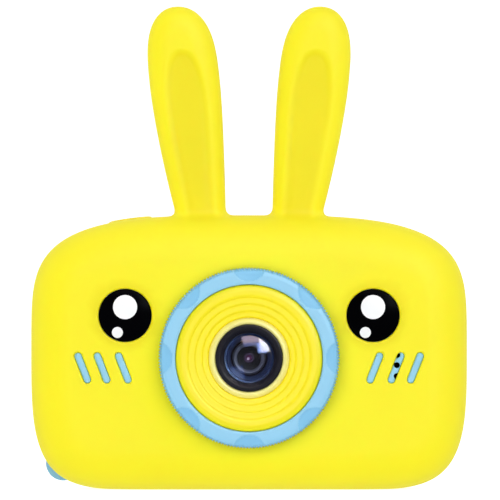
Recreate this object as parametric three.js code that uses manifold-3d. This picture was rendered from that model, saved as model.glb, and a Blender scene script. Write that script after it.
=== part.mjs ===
// A children's digital camera in a soft silicone sleeve with two rabbit ears.
// Millimetres, +Z up. The lens faces -Y, the screen faces +Y, and +X is the side with the sockets.
// The origin is on the flat base, at the middle of the whole object's width and depth.
import * as THREE from "three";
import { mergeVertices } from "three/addons/utils/BufferGeometryUtils.js";
import Module from "manifold-3d";

const wasm = await Module();
wasm.setup();

// ---------------------------------------------------------------- driving dimensions

const WIDTH = 95; // across the sleeve
const HEIGHT = 59.8; // base to the top of the sleeve, between the ears
const EAR_TOP = 105.3; // base to the tips of the ears
const DEPTH = 42; // front of the lens ring to the rear lip of the sleeve
const GAP = 0.3; // clearance between neighbouring pieces
const FAR = 70; // beyond every face of the camera

// Ranges that reach right through one wall, for cutting its openings.
const THROUGH_FRONT = [-16, -6];
const THROUGH_BACK = [14, 25];
const THROUGH_TOP = [50, 66];
const THROUGH_SIDE = [40, 50];

// The front view's outline: |x / halfWidth|^a + |z / rise|^b = 1 above and below the widest line.
// The lower half reaches a little below the base, which then cuts it flat.
const OUTLINE = {
  halfWidth: WIDTH / 2,
  widest: 29.5,
  belowBase: 0.25,
  topPowers: [3.3, 4.5],
  bottomPowers: [7.9, 3.4],
  points: 36,
};

// The side view: a flat front face, an elliptical front edge, straight sides and a rounded rear edge.
const SIDE = {
  frontFace: -12.2,
  frontInset: 9,
  frontDepth: 9.6,
  rearFace: DEPTH / 2,
  rearInset: 6,
  rearDepth: 7,
  edgeSteps: 3,
};

// Layers of the body, as depths below the sleeve's outer surface.
const SLEEVE_WALL = 1.8;
const CORE_SKIN = SLEEVE_WALL + GAP;
const CORE_WALL = 1.8;
const CORE_INSIDE = CORE_SKIN + CORE_WALL;
const LIP_INSET = 8; // how far the sleeve's lip reaches in over the back
const LIP_FROM = 10; // the lip's opening is cut from here backwards
const SPLIT_Y = -1.5; // where the front and rear shells meet
const CORE_BACK = SIDE.rearFace - CORE_SKIN;
const CORE_BACK_INSIDE = SIDE.rearFace - CORE_INSIDE;

const EAR = {
  base: HEIGHT,
  root: 55,
  baseOffset: 10.5,
  lean: 5,
  halfWidth: 7.72,
  baseShare: 0.706,
  widestAt: 0.62,
  tipPowers: [3.3, 2.1],
  halfThickness: 4.8,
  y: -1,
  sectionPower: 2.5,
  sectionPoints: 14,
  stations: [-0.06, 0.1, 0.28, 0.48, 0.66, 0.8, 0.9, 0.96, 0.99],
};
const EAR_HOLLOW = { radii: [4.3, 2.2, 18.5], x: 12.6, y: -6.4, z: 77.5, tilt: 0.11 };

const LENS = { x: 0, z: 28.8 };
const EYE = { x: 26.9, z: 38, radius: 5.6, holeRadius: 5.9, pinRadius: 1.5 };
const CHEEK = {
  x: [27.3, 31.9, 36.1],
  z: 26.6,
  length: 7.1,
  slotWidth: 1.6,
  barWidth: 1.1,
  tilt: THREE.MathUtils.degToRad(21.5),
  barY: [-11.8, -8.6],
};
const SOUND_HOLES = { x: 32.1, z: [24.8, 27.2, 29.4], radius: 0.63 };

const RING = { outer: 19.7, inner: 15.95, bore: 17.7, front: -DEPTH / 2, rear: -12.9, scallops: 8 };
const TURRET = { outer: 17.4, inner: 15.95, front: -18.3, sleeveHole: 18, passage: 9 };
const DISH = { radius: 15.65, bore: 7.7 };
const BARREL = { bezel: 7.36, thread: 6, front: -19.2, rear: -1 };
const HOLDER = { side: 16, tube: 7.6, bore: 6.3, front: -9.5, base: -4.2, rear: 2.5, window: 10 };
const SENSOR_BOARD = { width: 27, height: 18, y: [2.8, 3.8], screwX: 11.5 };

const BOARD = { x: [-40.5, 41], y: [11.6, 12.8], z: [12.6, 47.3], corner: 2 };
const SCREEN = {
  x: 14,
  z: 30,
  window: [46, 36],
  view: [41.4, 31.2],
  panel: [44, 33],
  panelY: [14.4, 16.8],
};
const BATTERY = { x: -23, z: 30, width: 24, height: 32, y: [5.5, 11.2] };
const SPEAKER = { x: 32.2, z: 27.1, radius: 7, y: [-7.7, -4.2] };

const PAD = { x: -24.5, z: 27, pitch: 8 }; // middle of the direction buttons and their spacing
const KEY = { radius: 3.4, hole: 3.7, flange: 3.8, top: 20.2, flangeY: [15.9, 16.8], stemEnd: 14.9 };
const MENU = { x: -24.5, z: 44, length: 9, width: 4.2 };
const SWITCH = { side: 6, y: [13.1, 15.1], mouth: 1.3, mouthDepth: 0.9, stem: 0.9 };
const LED = { x: -13.2, z: 44, radius: 0.9 };
const MICROPHONE = { x: -13.5, z: 16, radius: 2, hole: 0.6 };

const TOP_Y = 5; // both top buttons and their switches stand on this line
const SHUTTER = { x: -26, radius: 5, hole: 5.4, proud: 0.8, stem: 2.4, flange: 3.8 };
const POWER = { x: 26, radius: 3.4, hole: 3.8, proud: -0.3, stem: 1.6, flange: 2.8 };
const TOP_CAP = { thickness: 1.8, flangeZ: [52.9, 53.6], stemEnd: 51.2, stem: 1 };
const TOP_BOARD = { halfLength: 31, y: [1, 9.5], z: [48.5, 49.5] };
const TOP_SWITCH = { side: 6, z: [49.8, 51.6], mouth: 1.4, mouthDepth: 1.3 };

const PORT = {
  floor: [41.4, 42.6],
  y: [6.3, 13.7],
  z: [17, 43.5],
  rim: 1.2,
  sleeveY: [5.1, 14.9],
  sleeveZ: [12.6, 45],
  corner: 2.4,
};
const FLAP = {
  y: [5.4, 14.6],
  z: [15.2, 44.6],
  skin: 0.2,
  back: 1.75,
  plugX: [43.6, 46],
  plugY: [8.7, 11.1],
};
const STRAP = { x: [42.2, 46.4], y: [8, 12], z: [12.9, 14.6] };
const USB = { x: [35.6, 41.1], y: [8.5, 11.3], z: 21.5, width: 7.6, wall: 0.4, depth: 4.4 };
const CARD = { x: [27.9, 42.6], y: [10, 10.7], z: [30.5, 41.5], corner: 2 };
const CARD_SOCKET = { x: [26.6, 41.1], y: [9.4, 11.3], z: [29.4, 42.6], wall: [0.5, 0.3, 0.5] };

const LUG = { x: -40.4, z: 5.8, radius: 3.6, y: [8, 11.4], hole: 1.3, holeShift: 0.9 };
const LUG_POCKET = { radius: 4.2, from: 5, corner: 6.4, cornerY: [3, 17.5] };
const CASE_SCREWS = [
  [-35.5, 51],
  [35.5, 51],
  [-30.5, 5.9],
  [30.5, 5.9],
];
const CASE_SCREW = {
  boss: 3,
  head: 1.9,
  headHeight: 1.4,
  shank: 1,
  seat: 13.8,
  tip: 4.8,
  sink: 2.3,
  joint: 9.8,
};
const BOARD_SCREWS = [
  [-37.8, 43.3],
  [-37.8, 16.2],
  [38.7, 27.6],
];
const BOARD_SCREW = { boss: 1.9, head: 1.4, headHeight: 1.2, shank: 0.8, length: 4.8 };
const SMALL_SCREW = { head: 1.4, headHeight: 1, shank: 0.6, length: 4 };

// ---------------------------------------------------------------- materials

const finish = (color, roughness, metalness = 0) =>
  new THREE.MeshStandardMaterial({ color, roughness, metalness });

const MATERIAL = {
  yellowSilicone: finish(0xfff33c, 0.6),
  yellowPlastic: finish(0xfbec2c, 0.35),
  bluePlastic: finish(0x97d3f0, 0.4),
  blueRing: finish(0x9ad8f8, 0.4),
  eyeBlack: finish(0x08080a, 0.25),
  lensBlack: finish(0x1c1b22, 0.35),
  blackPlastic: finish(0x202024, 0.5),
  glass: finish(0x6f86b8, 0.05),
  screenGlass: finish(0x15171c, 0.08),
  circuitGreen: finish(0x1d6a42, 0.5),
  chipBlack: finish(0x26262a, 0.6),
  steel: finish(0xbfc3c8, 0.3, 1),
  silverFoil: finish(0xb9bcc2, 0.45, 1),
  ribbonOrange: finish(0xc07a2a, 0.5),
  wireRed: finish(0xc02a22, 0.5),
  ledWhite: finish(0xf2f2ee, 0.3),
};

// ---------------------------------------------------------------- solids

/** A closed geometry as a manifold solid, whichever way its faces were wound. */
function solid(geometry) {
  const bare = geometry.index ? geometry.toNonIndexed() : geometry.clone();
  bare.deleteAttribute("normal");
  bare.deleteAttribute("uv");
  const merged = mergeVertices(bare, 1e-4);
  const corners = merged.index.array;
  const kept = [];
  for (let i = 0; i < corners.length; i += 3) {
    const [a, b, c] = [corners[i], corners[i + 1], corners[i + 2]];
    if (a !== b && b !== c && c !== a) kept.push(a, b, c);
  }
  const make = (triangles) =>
    new wasm.Manifold(
      new wasm.Mesh({
        numProp: 3,
        vertProperties: Float32Array.from(merged.attributes.position.array),
        triVerts: Uint32Array.from(triangles),
      }),
    );
  const made = make(kept);
  if (made.volume() > 0) return made;
  const turned = [];
  for (let i = 0; i < kept.length; i += 3) turned.push(kept[i], kept[i + 2], kept[i + 1]);
  return make(turned);
}

/** A manifold solid as a geometry for a mesh. */
function geometryOf(body) {
  const mesh = body.getMesh();
  const geometry = new THREE.BufferGeometry();
  geometry.setAttribute("position", new THREE.BufferAttribute(mesh.vertProperties, 3));
  geometry.setIndex(new THREE.BufferAttribute(mesh.triVerts, 1));
  geometry.computeVertexNormals();
  return geometry;
}

const join = (...bodies) => bodies.reduce((all, body) => all.add(body));
const cut = (body, ...tools) => tools.reduce((left, tool) => left.subtract(tool), body);

/** A box between two values on each axis. */
function block([x0, x1], [y0, y1], [z0, z1]) {
  const geometry = new THREE.BoxGeometry(x1 - x0, y1 - y0, z1 - z0);
  return solid(geometry.translate((x0 + x1) / 2, (y0 + y1) / 2, (z0 + z1) / 2));
}

/** A round bar along Y. */
function barY(radius, [y0, y1], x = 0, z = 0, sides = 24) {
  const geometry = new THREE.CylinderGeometry(radius, radius, y1 - y0, sides);
  return solid(geometry.translate(x, (y0 + y1) / 2, z));
}

/** A round bar along Z. */
function barZ(radius, [z0, z1], x = 0, y = 0, sides = 24) {
  const geometry = new THREE.CylinderGeometry(radius, radius, z1 - z0, sides);
  return solid(geometry.rotateX(Math.PI / 2).translate(x, y, (z0 + z1) / 2));
}

/** A body turned about the Y axis from [radius, y] points, starting and ending on the axis or closed. */
function turned(profile, sides, isRing = false) {
  const points = profile.map(([radius, y]) => new THREE.Vector2(radius, y));
  if (isRing) points.push(points[0].clone());
  return solid(new THREE.LatheGeometry(points, sides));
}

/** A rectangle with round corners, centred on the origin. */
function roundedRectangle(width, height, corner, steps = 3) {
  const [x, y] = [width / 2 - corner, height / 2 - corner];
  const shape = new THREE.Shape();
  shape.absarc(x, y, corner, 0, Math.PI / 2);
  shape.absarc(-x, y, corner, Math.PI / 2, Math.PI);
  shape.absarc(-x, -y, corner, Math.PI, 1.5 * Math.PI);
  shape.absarc(x, -y, corner, 1.5 * Math.PI, 2 * Math.PI);
  return { shape, steps };
}

/** A flat plate whose outline lies in the XZ plane, between two values of y. */
function plateY({ shape, steps }, [y0, y1], x = 0, z = 0, turn = 0) {
  const geometry = new THREE.ExtrudeGeometry(shape, {
    depth: y1 - y0,
    bevelEnabled: false,
    curveSegments: steps,
  });
  return solid(geometry.rotateX(Math.PI / 2).rotateY(turn).translate(x, y1, z));
}

/** A flat plate whose outline lies in the YZ plane, between two values of x. */
function plateX({ shape, steps }, [x0, x1], y, z) {
  const geometry = new THREE.ExtrudeGeometry(shape, {
    depth: x1 - x0,
    bevelEnabled: false,
    curveSegments: steps,
  });
  return solid(geometry.rotateY(Math.PI / 2).translate(x0, y, z));
}

const standingCapsule = (length, width) => roundedRectangle(width, length, width / 2 - 1e-3, 2);
const lyingCapsule = (length, width) => roundedRectangle(length, width, width / 2 - 1e-3, 3);
const middle = ([low, high]) => (low + high) / 2;
const span = ([low, high]) => high - low;
const grown = ([low, high], by) => [low - by, high + by];

/** A closed body from rings with the same number of points, with a point closing each end. */
function loft(rings, firstTip, lastTip) {
  const count = rings[0].length;
  const vertices = [...rings.flat(), firstTip, lastTip];
  const first = vertices.length - 2;
  const triangles = [];
  for (let i = 0; i < count; i++) {
    const next = (i + 1) % count;
    triangles.push(first, next, i);
    for (let ring = 0; ring + 1 < rings.length; ring++) {
      const [low, high] = [ring * count, (ring + 1) * count];
      triangles.push(low + i, low + next, high + next, low + i, high + next, high + i);
    }
    const top = (rings.length - 1) * count;
    triangles.push(top + i, top + next, first + 1);
  }
  const geometry = new THREE.BufferGeometry().setFromPoints(vertices);
  return solid(geometry.setIndex(triangles));
}

/** A thin strip of flexible circuit along a curve of [y, z] points, with its width along X. */
function ribbon(points, thickness, [x0, x1]) {
  const curve = new THREE.SplineCurve(points.map(([y, z]) => new THREE.Vector2(y, z)));
  const [near, far] = [[], []];
  const steps = points.length * 3;
  for (let i = 0; i <= steps; i++) {
    const place = curve.getPoint(i / steps);
    const along = curve.getTangent(i / steps);
    const side = new THREE.Vector2(-along.y, along.x).multiplyScalar(thickness / 2);
    near.push(place.clone().add(side));
    far.unshift(place.clone().sub(side));
  }
  const geometry = new THREE.ExtrudeGeometry(new THREE.Shape([...near, ...far]), {
    depth: x1 - x0,
    bevelEnabled: false,
  });
  // The shape's x is y and its y is z, and the strip's width then runs along x.
  const turn = new THREE.Matrix4().set(0, 0, 1, x0, 1, 0, 0, 0, 0, 1, 0, 0, 0, 0, 0, 1);
  return solid(geometry.applyMatrix4(turn));
}

/** A round wire along a curve. */
function wire(points, radius) {
  const path = new THREE.CatmullRomCurve3(points.map((p) => new THREE.Vector3(...p)));
  const section = new THREE.Shape().absarc(0, 0, radius, 0, 2 * Math.PI);
  return solid(
    new THREE.ExtrudeGeometry(section, { steps: 10, extrudePath: path, curveSegments: 2 }),
  );
}

// ---------------------------------------------------------------- the rounded body

/** The outline moved inwards, as [x, z] points. Even steps of the angle crowd them at the corners. */
function insetOutline(inset) {
  return Array.from({ length: OUTLINE.points }, (_, i) => {
    const angle = (2 * Math.PI * i) / OUTLINE.points;
    const above = i <= OUTLINE.points / 2;
    const rise = above ? HEIGHT - OUTLINE.widest : OUTLINE.widest + OUTLINE.belowBase;
    const [powerX, powerZ] = above ? OUTLINE.topPowers : OUTLINE.bottomPowers;
    const [c, s] = [Math.cos(angle), Math.sin(angle)];
    const onOutline = new THREE.Vector2(
      Math.sign(c) * OUTLINE.halfWidth * Math.abs(c) ** (2 / powerX),
      Math.sign(s) * rise * Math.abs(s) ** (2 / powerZ) + OUTLINE.widest,
    );
    const outward = new THREE.Vector2(
      Math.sign(c) * (powerX / OUTLINE.halfWidth) * Math.abs(c) ** (2 - 2 / powerX),
      Math.sign(s) * (powerZ / rise) * Math.abs(s) ** (2 - 2 / powerZ),
    ).normalize();
    return onOutline.sub(outward.multiplyScalar(inset));
  });
}

/** The whole rounded body, offset inwards from the sleeve's outer surface by a depth. */
function bodyAt(depth) {
  const rings = [];
  const addRing = (inset, y) =>
    rings.push(insetOutline(inset).map((p) => new THREE.Vector3(p.x, y, p.y)));
  for (let step = 0; step <= SIDE.edgeSteps; step++) {
    const angle = (Math.PI / 2) * (step / SIDE.edgeSteps);
    const inset = SIDE.frontInset - (SIDE.frontInset - depth) * Math.sin(angle);
    const back = (SIDE.frontDepth - depth) * (1 - Math.cos(angle));
    addRing(inset, SIDE.frontFace + depth + back);
  }
  for (let step = 0; step <= SIDE.edgeSteps; step++) {
    const angle = (Math.PI / 2) * (step / SIDE.edgeSteps);
    const inset = SIDE.rearInset - (SIDE.rearInset - depth) * Math.cos(angle);
    const forward = (SIDE.rearDepth - depth) * (1 - Math.sin(angle));
    addRing(inset, SIDE.rearFace - depth - forward);
  }
  return loft(
    rings,
    new THREE.Vector3(0, SIDE.frontFace + depth, HEIGHT / 2),
    new THREE.Vector3(0, SIDE.rearFace - depth, HEIGHT / 2),
  );
}

// ---------------------------------------------------------------- the sleeve

const earRise = EAR_TOP - EAR.base;
const earCentre = (share) => EAR.baseOffset + EAR.lean * (1.3 * share - 0.3 * share * share);

/** How full the ear's section is at a share of its height: narrow at the base, round at the tip. */
function earFullness(share) {
  if (share < EAR.widestAt) return 1 - (1 - EAR.baseShare) * (1 - share / EAR.widestAt) ** 1.5;
  const [a, b] = EAR.tipPowers;
  return (1 - ((share - EAR.widestAt) / (1 - EAR.widestAt)) ** a) ** (1 / b);
}

function ear(side) {
  const power = 2 / EAR.sectionPower;
  const rings = EAR.stations.map((share) => {
    const halfWidth = EAR.halfWidth * earFullness(share);
    const halfThickness = EAR.halfThickness * (share < EAR.widestAt ? 1 : earFullness(share));
    return Array.from({ length: EAR.sectionPoints }, (_, i) => {
      const angle = (2 * Math.PI * i) / EAR.sectionPoints;
      const [c, s] = [Math.cos(angle), Math.sin(angle)];
      return new THREE.Vector3(
        side * earCentre(share) + halfWidth * Math.sign(c) * Math.abs(c) ** power,
        EAR.y + halfThickness * Math.sign(s) * Math.abs(s) ** power,
        EAR.base + share * earRise,
      );
    });
  });
  const root = new THREE.Vector3(side * EAR.baseOffset, EAR.y, EAR.root);
  const tip = new THREE.Vector3(side * earCentre(1), EAR.y, EAR_TOP);
  const hollow = new THREE.SphereGeometry(1, 12, 10)
    .rotateX(Math.PI / 2)
    .scale(...EAR_HOLLOW.radii)
    .rotateY(side * EAR_HOLLOW.tilt)
    .translate(side * EAR_HOLLOW.x, EAR_HOLLOW.y, EAR_HOLLOW.z);
  return loft(rings, root, tip).subtract(solid(hollow));
}

/** The three slanted marks under one eye, as bars through the front wall. */
function cheekMarks(side, width, length, yRange) {
  return CHEEK.x.map((x) =>
    plateY(standingCapsule(length, width), yRange, side * x, CHEEK.z, side * CHEEK.tilt),
  );
}

function siliconeSleeve() {
  const rearLip = insetOutline(LIP_INSET);
  const opening = { shape: new THREE.Shape(rearLip), steps: 1 };
  const portCut = roundedRectangle(span(PORT.sleeveZ), span(PORT.sleeveY), PORT.corner);
  return cut(
    join(bodyAt(0), ear(-1), ear(1)),
    bodyAt(SLEEVE_WALL),
    plateY(opening, [LIP_FROM, FAR]),
    barY(TURRET.sleeveHole, THROUGH_FRONT, LENS.x, LENS.z, 30),
    barY(EYE.holeRadius, THROUGH_FRONT, -EYE.x, EYE.z, 20),
    barY(EYE.holeRadius, THROUGH_FRONT, EYE.x, EYE.z, 20),
    ...cheekMarks(-1, CHEEK.slotWidth, CHEEK.length, THROUGH_FRONT),
    ...cheekMarks(1, CHEEK.slotWidth, CHEEK.length, THROUGH_FRONT),
    barZ(SHUTTER.hole, THROUGH_TOP, SHUTTER.x, TOP_Y),
    barZ(POWER.hole, THROUGH_TOP, POWER.x, TOP_Y),
    plateX(portCut, THROUGH_SIDE, middle(PORT.sleeveY), middle(PORT.sleeveZ)),
    barY(LUG_POCKET.radius + 0.4, [LUG_POCKET.from - 0.4, FAR], LUG.x, LUG.z, 16),
    block([-FAR, FAR], [-FAR, FAR], [-FAR, 0]),
  );
}

// ---------------------------------------------------------------- the core's two shells

const coreOutside = bodyAt(CORE_SKIN);
const coreInside = bodyAt(CORE_INSIDE);
const forwardOfSplit = block([-FAR, FAR], [-FAR, SPLIT_Y - GAP / 2], [-FAR, FAR]);
const behindSplit = block([-FAR, FAR], [SPLIT_Y + GAP / 2, FAR], [-FAR, FAR]);

function tubeY(outer, inner, range, x, z, sides) {
  return cut(barY(outer, range, x, z, sides), barY(inner, grown(range, 1), x, z, sides));
}

function frontShell() {
  const wall = coreOutside.subtract(coreInside).intersect(forwardOfSplit);
  const bosses = CASE_SCREWS.flatMap(([x, z]) => [
    barY(CASE_SCREW.boss, [-12, SPLIT_Y - GAP / 2], x, z, 10).intersect(coreOutside),
    barY(CASE_SCREW.boss, [-4, CASE_SCREW.joint - GAP], x, z, 10).intersect(bodyAt(CORE_INSIDE + 2 * GAP)),
  ]);
  const lensPosts = [-1, 1].map((side) =>
    barY(1.8, [-9.5, SENSOR_BOARD.y[0] - GAP], side * SENSOR_BOARD.screwX, LENS.z, 12),
  );
  const bars = [-1, 1].flatMap((side) =>
    cheekMarks(side, CHEEK.barWidth, CHEEK.length - 0.5, CHEEK.barY),
  );
  const turret = tubeY(TURRET.outer, TURRET.inner, [TURRET.front, -9.2], LENS.x, LENS.z, 30);
  const seat = tubeY(SPEAKER.radius + 1.3, SPEAKER.radius + GAP, [-8.6, -5], SPEAKER.x, SPEAKER.z, 18);
  return cut(
    join(wall, turret, seat, ...bosses, ...lensPosts, ...bars),
    barY(TURRET.passage, [-12, -6], LENS.x, LENS.z, 20),
    ...SOUND_HOLES.z.map((z) => barY(SOUND_HOLES.radius, THROUGH_FRONT, SOUND_HOLES.x, z, 8)),
    ...[-1, 1].map((side) => barY(EYE.pinRadius + GAP, THROUGH_FRONT, side * EYE.x, EYE.z, 12)),
    ...CASE_SCREWS.map(([x, z]) => barY(CASE_SCREW.shank + GAP, [CASE_SCREW.tip - 1, 12], x, z, 8)),
    ...[-1, 1].map((side) =>
      barY(SMALL_SCREW.shank + GAP, [-3, 4], side * SENSOR_BOARD.screwX, LENS.z, 8),
    ),
  );
}

/** The corner where a wrist cord ties on: an eyelet standing in a pocket of the solid corner. */
function cordCorner(shell) {
  const corner = barY(LUG_POCKET.corner, LUG_POCKET.cornerY, LUG.x, LUG.z, 16).intersect(coreOutside);
  const eyelet = barY(LUG.radius, LUG.y, LUG.x, LUG.z, 18);
  const out = LUG.holeShift / Math.SQRT2;
  return cut(
    join(shell, corner, eyelet),
    barY(LUG_POCKET.radius, [LUG_POCKET.from, LUG.y[0]], LUG.x, LUG.z, 16),
    barY(LUG_POCKET.radius, [LUG.y[1], FAR], LUG.x, LUG.z, 16),
    barY(LUG.hole, grown(LUG.y, 1), LUG.x - out, LUG.z - out, 10),
  );
}

/** The socket bay in the side wall: a shallow box with one opening for the plug and one for the card. */
function socketBay(shell) {
  const bay = block(
    [PORT.floor[0], 46],
    grown(PORT.y, PORT.rim),
    grown(PORT.z, PORT.rim),
  ).intersect(coreOutside);
  return cut(
    shell.add(bay),
    block([PORT.floor[1], 50], PORT.y, PORT.z),
    block(grown(PORT.floor, 0.5), grown(USB.y, -0.2), grown([USB.z, USB.z], USB.width / 2 - 0.1)),
    block(grown(PORT.floor, 0.5), grown(CARD.y, 0.4), grown(CARD.z, 0.4)),
    block([40, 48], grown(STRAP.y, GAP), grown(STRAP.z, GAP)),
  );
}

function rearShell() {
  const wall = coreOutside.subtract(coreInside).intersect(behindSplit);
  const bosses = CASE_SCREWS.map(([x, z]) =>
    barY(CASE_SCREW.boss, [CASE_SCREW.joint, 19], x, z, 10).intersect(coreOutside),
  );
  const boardPosts = BOARD_SCREWS.map(([x, z]) =>
    barY(BOARD_SCREW.boss, [BOARD.y[1] + GAP, CORE_BACK_INSIDE + 0.5], x, z, 12),
  );
  const hangers = [-14, 14].map((x) =>
    block(grown([x, x], 1.5), [1.5, 9], [TOP_BOARD.z[1] + GAP, 58]).intersect(coreOutside),
  );
  const [windowWidth, windowHeight] = SCREEN.window;
  const windowSeat = roundedRectangle(windowWidth + 2 * GAP, windowHeight + 2 * GAP, 3);
  const view = roundedRectangle(...SCREEN.view, 1.5);
  return cut(
    socketBay(cordCorner(join(wall, ...bosses, ...boardPosts, ...hangers))),
    plateY(windowSeat, [CORE_BACK - 1.2, FAR], SCREEN.x, SCREEN.z),
    plateY(view, [CORE_BACK_INSIDE - 1, FAR], SCREEN.x, SCREEN.z),
    ...padPlaces().map(([, x, z]) => barY(KEY.hole, THROUGH_BACK, x, z, 14)),
    plateY(lyingCapsule(MENU.length + 2 * GAP, MENU.width + 2 * GAP), THROUGH_BACK, MENU.x, MENU.z),
    barY(LED.radius + GAP, THROUGH_BACK, LED.x, LED.z, 12),
    barY(MICROPHONE.hole, THROUGH_BACK, MICROPHONE.x, MICROPHONE.z, 10),
    barZ(SHUTTER.stem + 0.4, THROUGH_TOP, SHUTTER.x, TOP_Y, 20),
    barZ(POWER.stem + 0.4, THROUGH_TOP, POWER.x, TOP_Y, 16),
    ...CASE_SCREWS.map(([x, z]) => barY(CASE_SCREW.shank + GAP, [8, 20], x, z, 8)),
    ...CASE_SCREWS.map(([x, z]) => barY(CASE_SCREW.sink, [CASE_SCREW.seat - GAP, FAR], x, z, 12)),
    ...BOARD_SCREWS.map(([x, z]) => barY(BOARD_SCREW.shank + GAP, [12, 16.6], x, z, 8)),
  );
}

// ---------------------------------------------------------------- lens, ring and dish

/** The ring round the lens, with a bore that fits the turret and shallow finger scallops. */
function lensRing() {
  const { outer, inner, bore, front, rear } = RING;
  const body = turned(
    [
      [bore, rear],
      [bore, TURRET.front - GAP],
      [inner, TURRET.front - GAP],
      [inner, front + 0.3],
      [inner + 0.3, front],
      [outer - 1.2, front + 0.3],
      [outer, front + 1.6],
      [outer, rear],
    ],
    40,
    true,
  );
  const scallops = Array.from({ length: RING.scallops }, (_, i) => {
    const angle = (2 * Math.PI * i) / RING.scallops;
    const sphere = new THREE.SphereGeometry(5.2, 14, 10);
    return solid(sphere.translate(20.6 * Math.cos(angle), front - 3.9, 20.6 * Math.sin(angle)));
  });
  return cut(body, ...scallops);
}

/** The yellow dish: a rounded rim, three terraces down to a groove, and a raised collar. */
function lensDish() {
  const { radius, bore } = DISH;
  return turned(
    [
      [radius, -13],
      [radius, -19.5],
      [13.9, -20.45],
      [13.3, -20.3],
      [13.2, -19.8],
      [11.8, -19.7],
      [11.8, -19.2],
      [10.2, -19.1],
      [10.2, -18.5],
      [8.8, -18.4],
      [8.8, -19],
      [bore, -19],
      [bore, -16.6],
      [14.7, -17.6],
      [14.7, -13],
    ],
    28,
    true,
  );
}

function lensBarrel() {
  const { bezel, thread, front, rear } = BARREL;
  return turned(
    [
      [bezel, -15.4],
      [bezel, front + 0.2],
      [bezel - 0.4, front],
      [5.4, front + 0.8],
      [5.4, -16.6],
      [3.8, -16.5],
      [3.7, -9],
      [2.8, -9],
      [2.8, rear],
      [thread, rear],
      [thread, -15.4],
    ],
    20,
    true,
  );
}

/** A lens with domed faces: front and rear heights on the axis, and a straight rim. */
function lensElement(radius, frontTip, frontRim, rearRim, rearTip) {
  const dome = (rim, tip) =>
    [0, 0.6, 1].map((share) => [radius * share, tip + (rim - tip) * share * share]);
  return turned([...dome(frontRim, frontTip), ...dome(rearRim, rearTip).reverse()], 18);
}

function lensHolder() {
  const { side, tube, bore, front, base, rear, window } = HOLDER;
  const half = (size) => [-size / 2, size / 2];
  return cut(
    join(block(half(side), [base, rear], half(side)), barY(tube, [front, base + 1])),
    barY(bore, [front - 1, 0.3]),
    block(half(window), [0, rear + 1], half(window)),
  );
}

function sensorBoard() {
  const outline = roundedRectangle(SENSOR_BOARD.width, SENSOR_BOARD.height, 1.5);
  return cut(
    plateY(outline, SENSOR_BOARD.y),
    ...[-1, 1].map((side) => barY(0.9, grown(SENSOR_BOARD.y, 1), side * SENSOR_BOARD.screwX, 0, 10)),
  );
}

/** An eye: a domed disc on a pin that snaps into the front shell. */
function eye() {
  const { radius, pinRadius } = EYE;
  return turned(
    [
      [0, -12.75],
      [3, -12.68],
      [5.2, -12.4],
      [radius, -11.9],
      [radius, -10.45],
      [pinRadius, -10.45],
      [pinRadius, -7],
      [0, -7],
    ],
    20,
  );
}

// ---------------------------------------------------------------- electronics

function mainBoard() {
  const outline = roundedRectangle(span(BOARD.x), span(BOARD.z), BOARD.corner);
  return cut(
    plateY(outline, BOARD.y, middle(BOARD.x), middle(BOARD.z)),
    ...BOARD_SCREWS.map(([x, z]) => barY(BOARD_SCREW.shank + GAP, grown(BOARD.y, 1), x, z, 10)),
  );
}

function speaker() {
  const { radius, y } = SPEAKER;
  const [front, rear] = y;
  return turned(
    [
      [0, front + 0.7],
      [radius - 1.6, front + 1],
      [radius - 0.9, front],
      [radius, front],
      [radius, rear - 1.5],
      [radius - 2.5, rear - 1.2],
      [radius - 2.5, rear],
      [0, rear],
    ],
    20,
  );
}

function usbSocket() {
  const { x, y, z, width, wall, depth } = USB;
  const height = grown([z, z], width / 2);
  const mouth = block([x[1] - depth, x[1] + 1], grown(y, -wall), grown(height, -wall));
  return block(x, y, height).subtract(mouth);
}

function cardSocket() {
  const { x, y, z, wall } = CARD_SOCKET;
  return block(x, y, z).subtract(block([x[0] + wall[0], x[1] + 1], grown(y, -wall[1]), grown(z, -wall[2])));
}

/** The memory card, with the cut corner that all such cards have. */
function memoryCard() {
  const { x, y, z, corner } = CARD;
  const shape = new THREE.Shape();
  shape.moveTo(x[0], z[0]);
  shape.lineTo(x[1], z[0]);
  shape.lineTo(x[1], z[1]);
  shape.lineTo(x[0] + corner, z[1]);
  shape.lineTo(x[0], z[1] - corner);
  return plateY({ shape, steps: 1 }, y);
}

function battery() {
  const { width, height, y } = BATTERY;
  const pouch = plateY(roundedRectangle(width, height - 3, 1), y, 0, -1.5);
  const tab = block([-width / 2 + 2, width / 2 - 2], grown([middle(y), middle(y)], 0.5), [0, height / 2]);
  return pouch.add(tab);
}

/** A push switch: a square can whose mouth takes the button's stem. It faces +Y. */
function pushSwitch(side, height, mouth, mouthDepth) {
  const half = [-side / 2, side / 2];
  return block(half, [0, height], half).subtract(barY(mouth, [height - mouthDepth, height + 1], 0, 0, 10));
}

/** A pan-head screw along Y, with its head's seat at y = 0 and its shank towards -Y. */
function screw({ head, headHeight, shank, length }) {
  return turned(
    [
      [0, -length],
      [shank, -length + shank],
      [shank, 0],
      [head, 0],
      [head, headHeight * 0.6],
      [0, headHeight],
    ],
    8,
  );
}

// ---------------------------------------------------------------- buttons

/** Names and places of the five round buttons on the back. */
function padPlaces() {
  const { x, z, pitch } = PAD;
  return [
    ["up", x, z + pitch],
    ["down", x, z - pitch],
    ["left", x + pitch, z],
    ["right", x - pitch, z],
    ["ok", x, z],
  ];
}

/** A round back button at the origin of x and z: domed cap, flange behind the wall and stem. */
function roundKey() {
  const { radius, flange, top, flangeY, stemEnd } = KEY;
  return turned(
    [
      [0, stemEnd],
      [SWITCH.stem, stemEnd],
      [SWITCH.stem, flangeY[0]],
      [flange, flangeY[0]],
      [flange, flangeY[1]],
      [radius, flangeY[1]],
      [radius, top - 0.4],
      [radius - 0.5, top],
      [0, top],
    ],
    14,
  );
}

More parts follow.
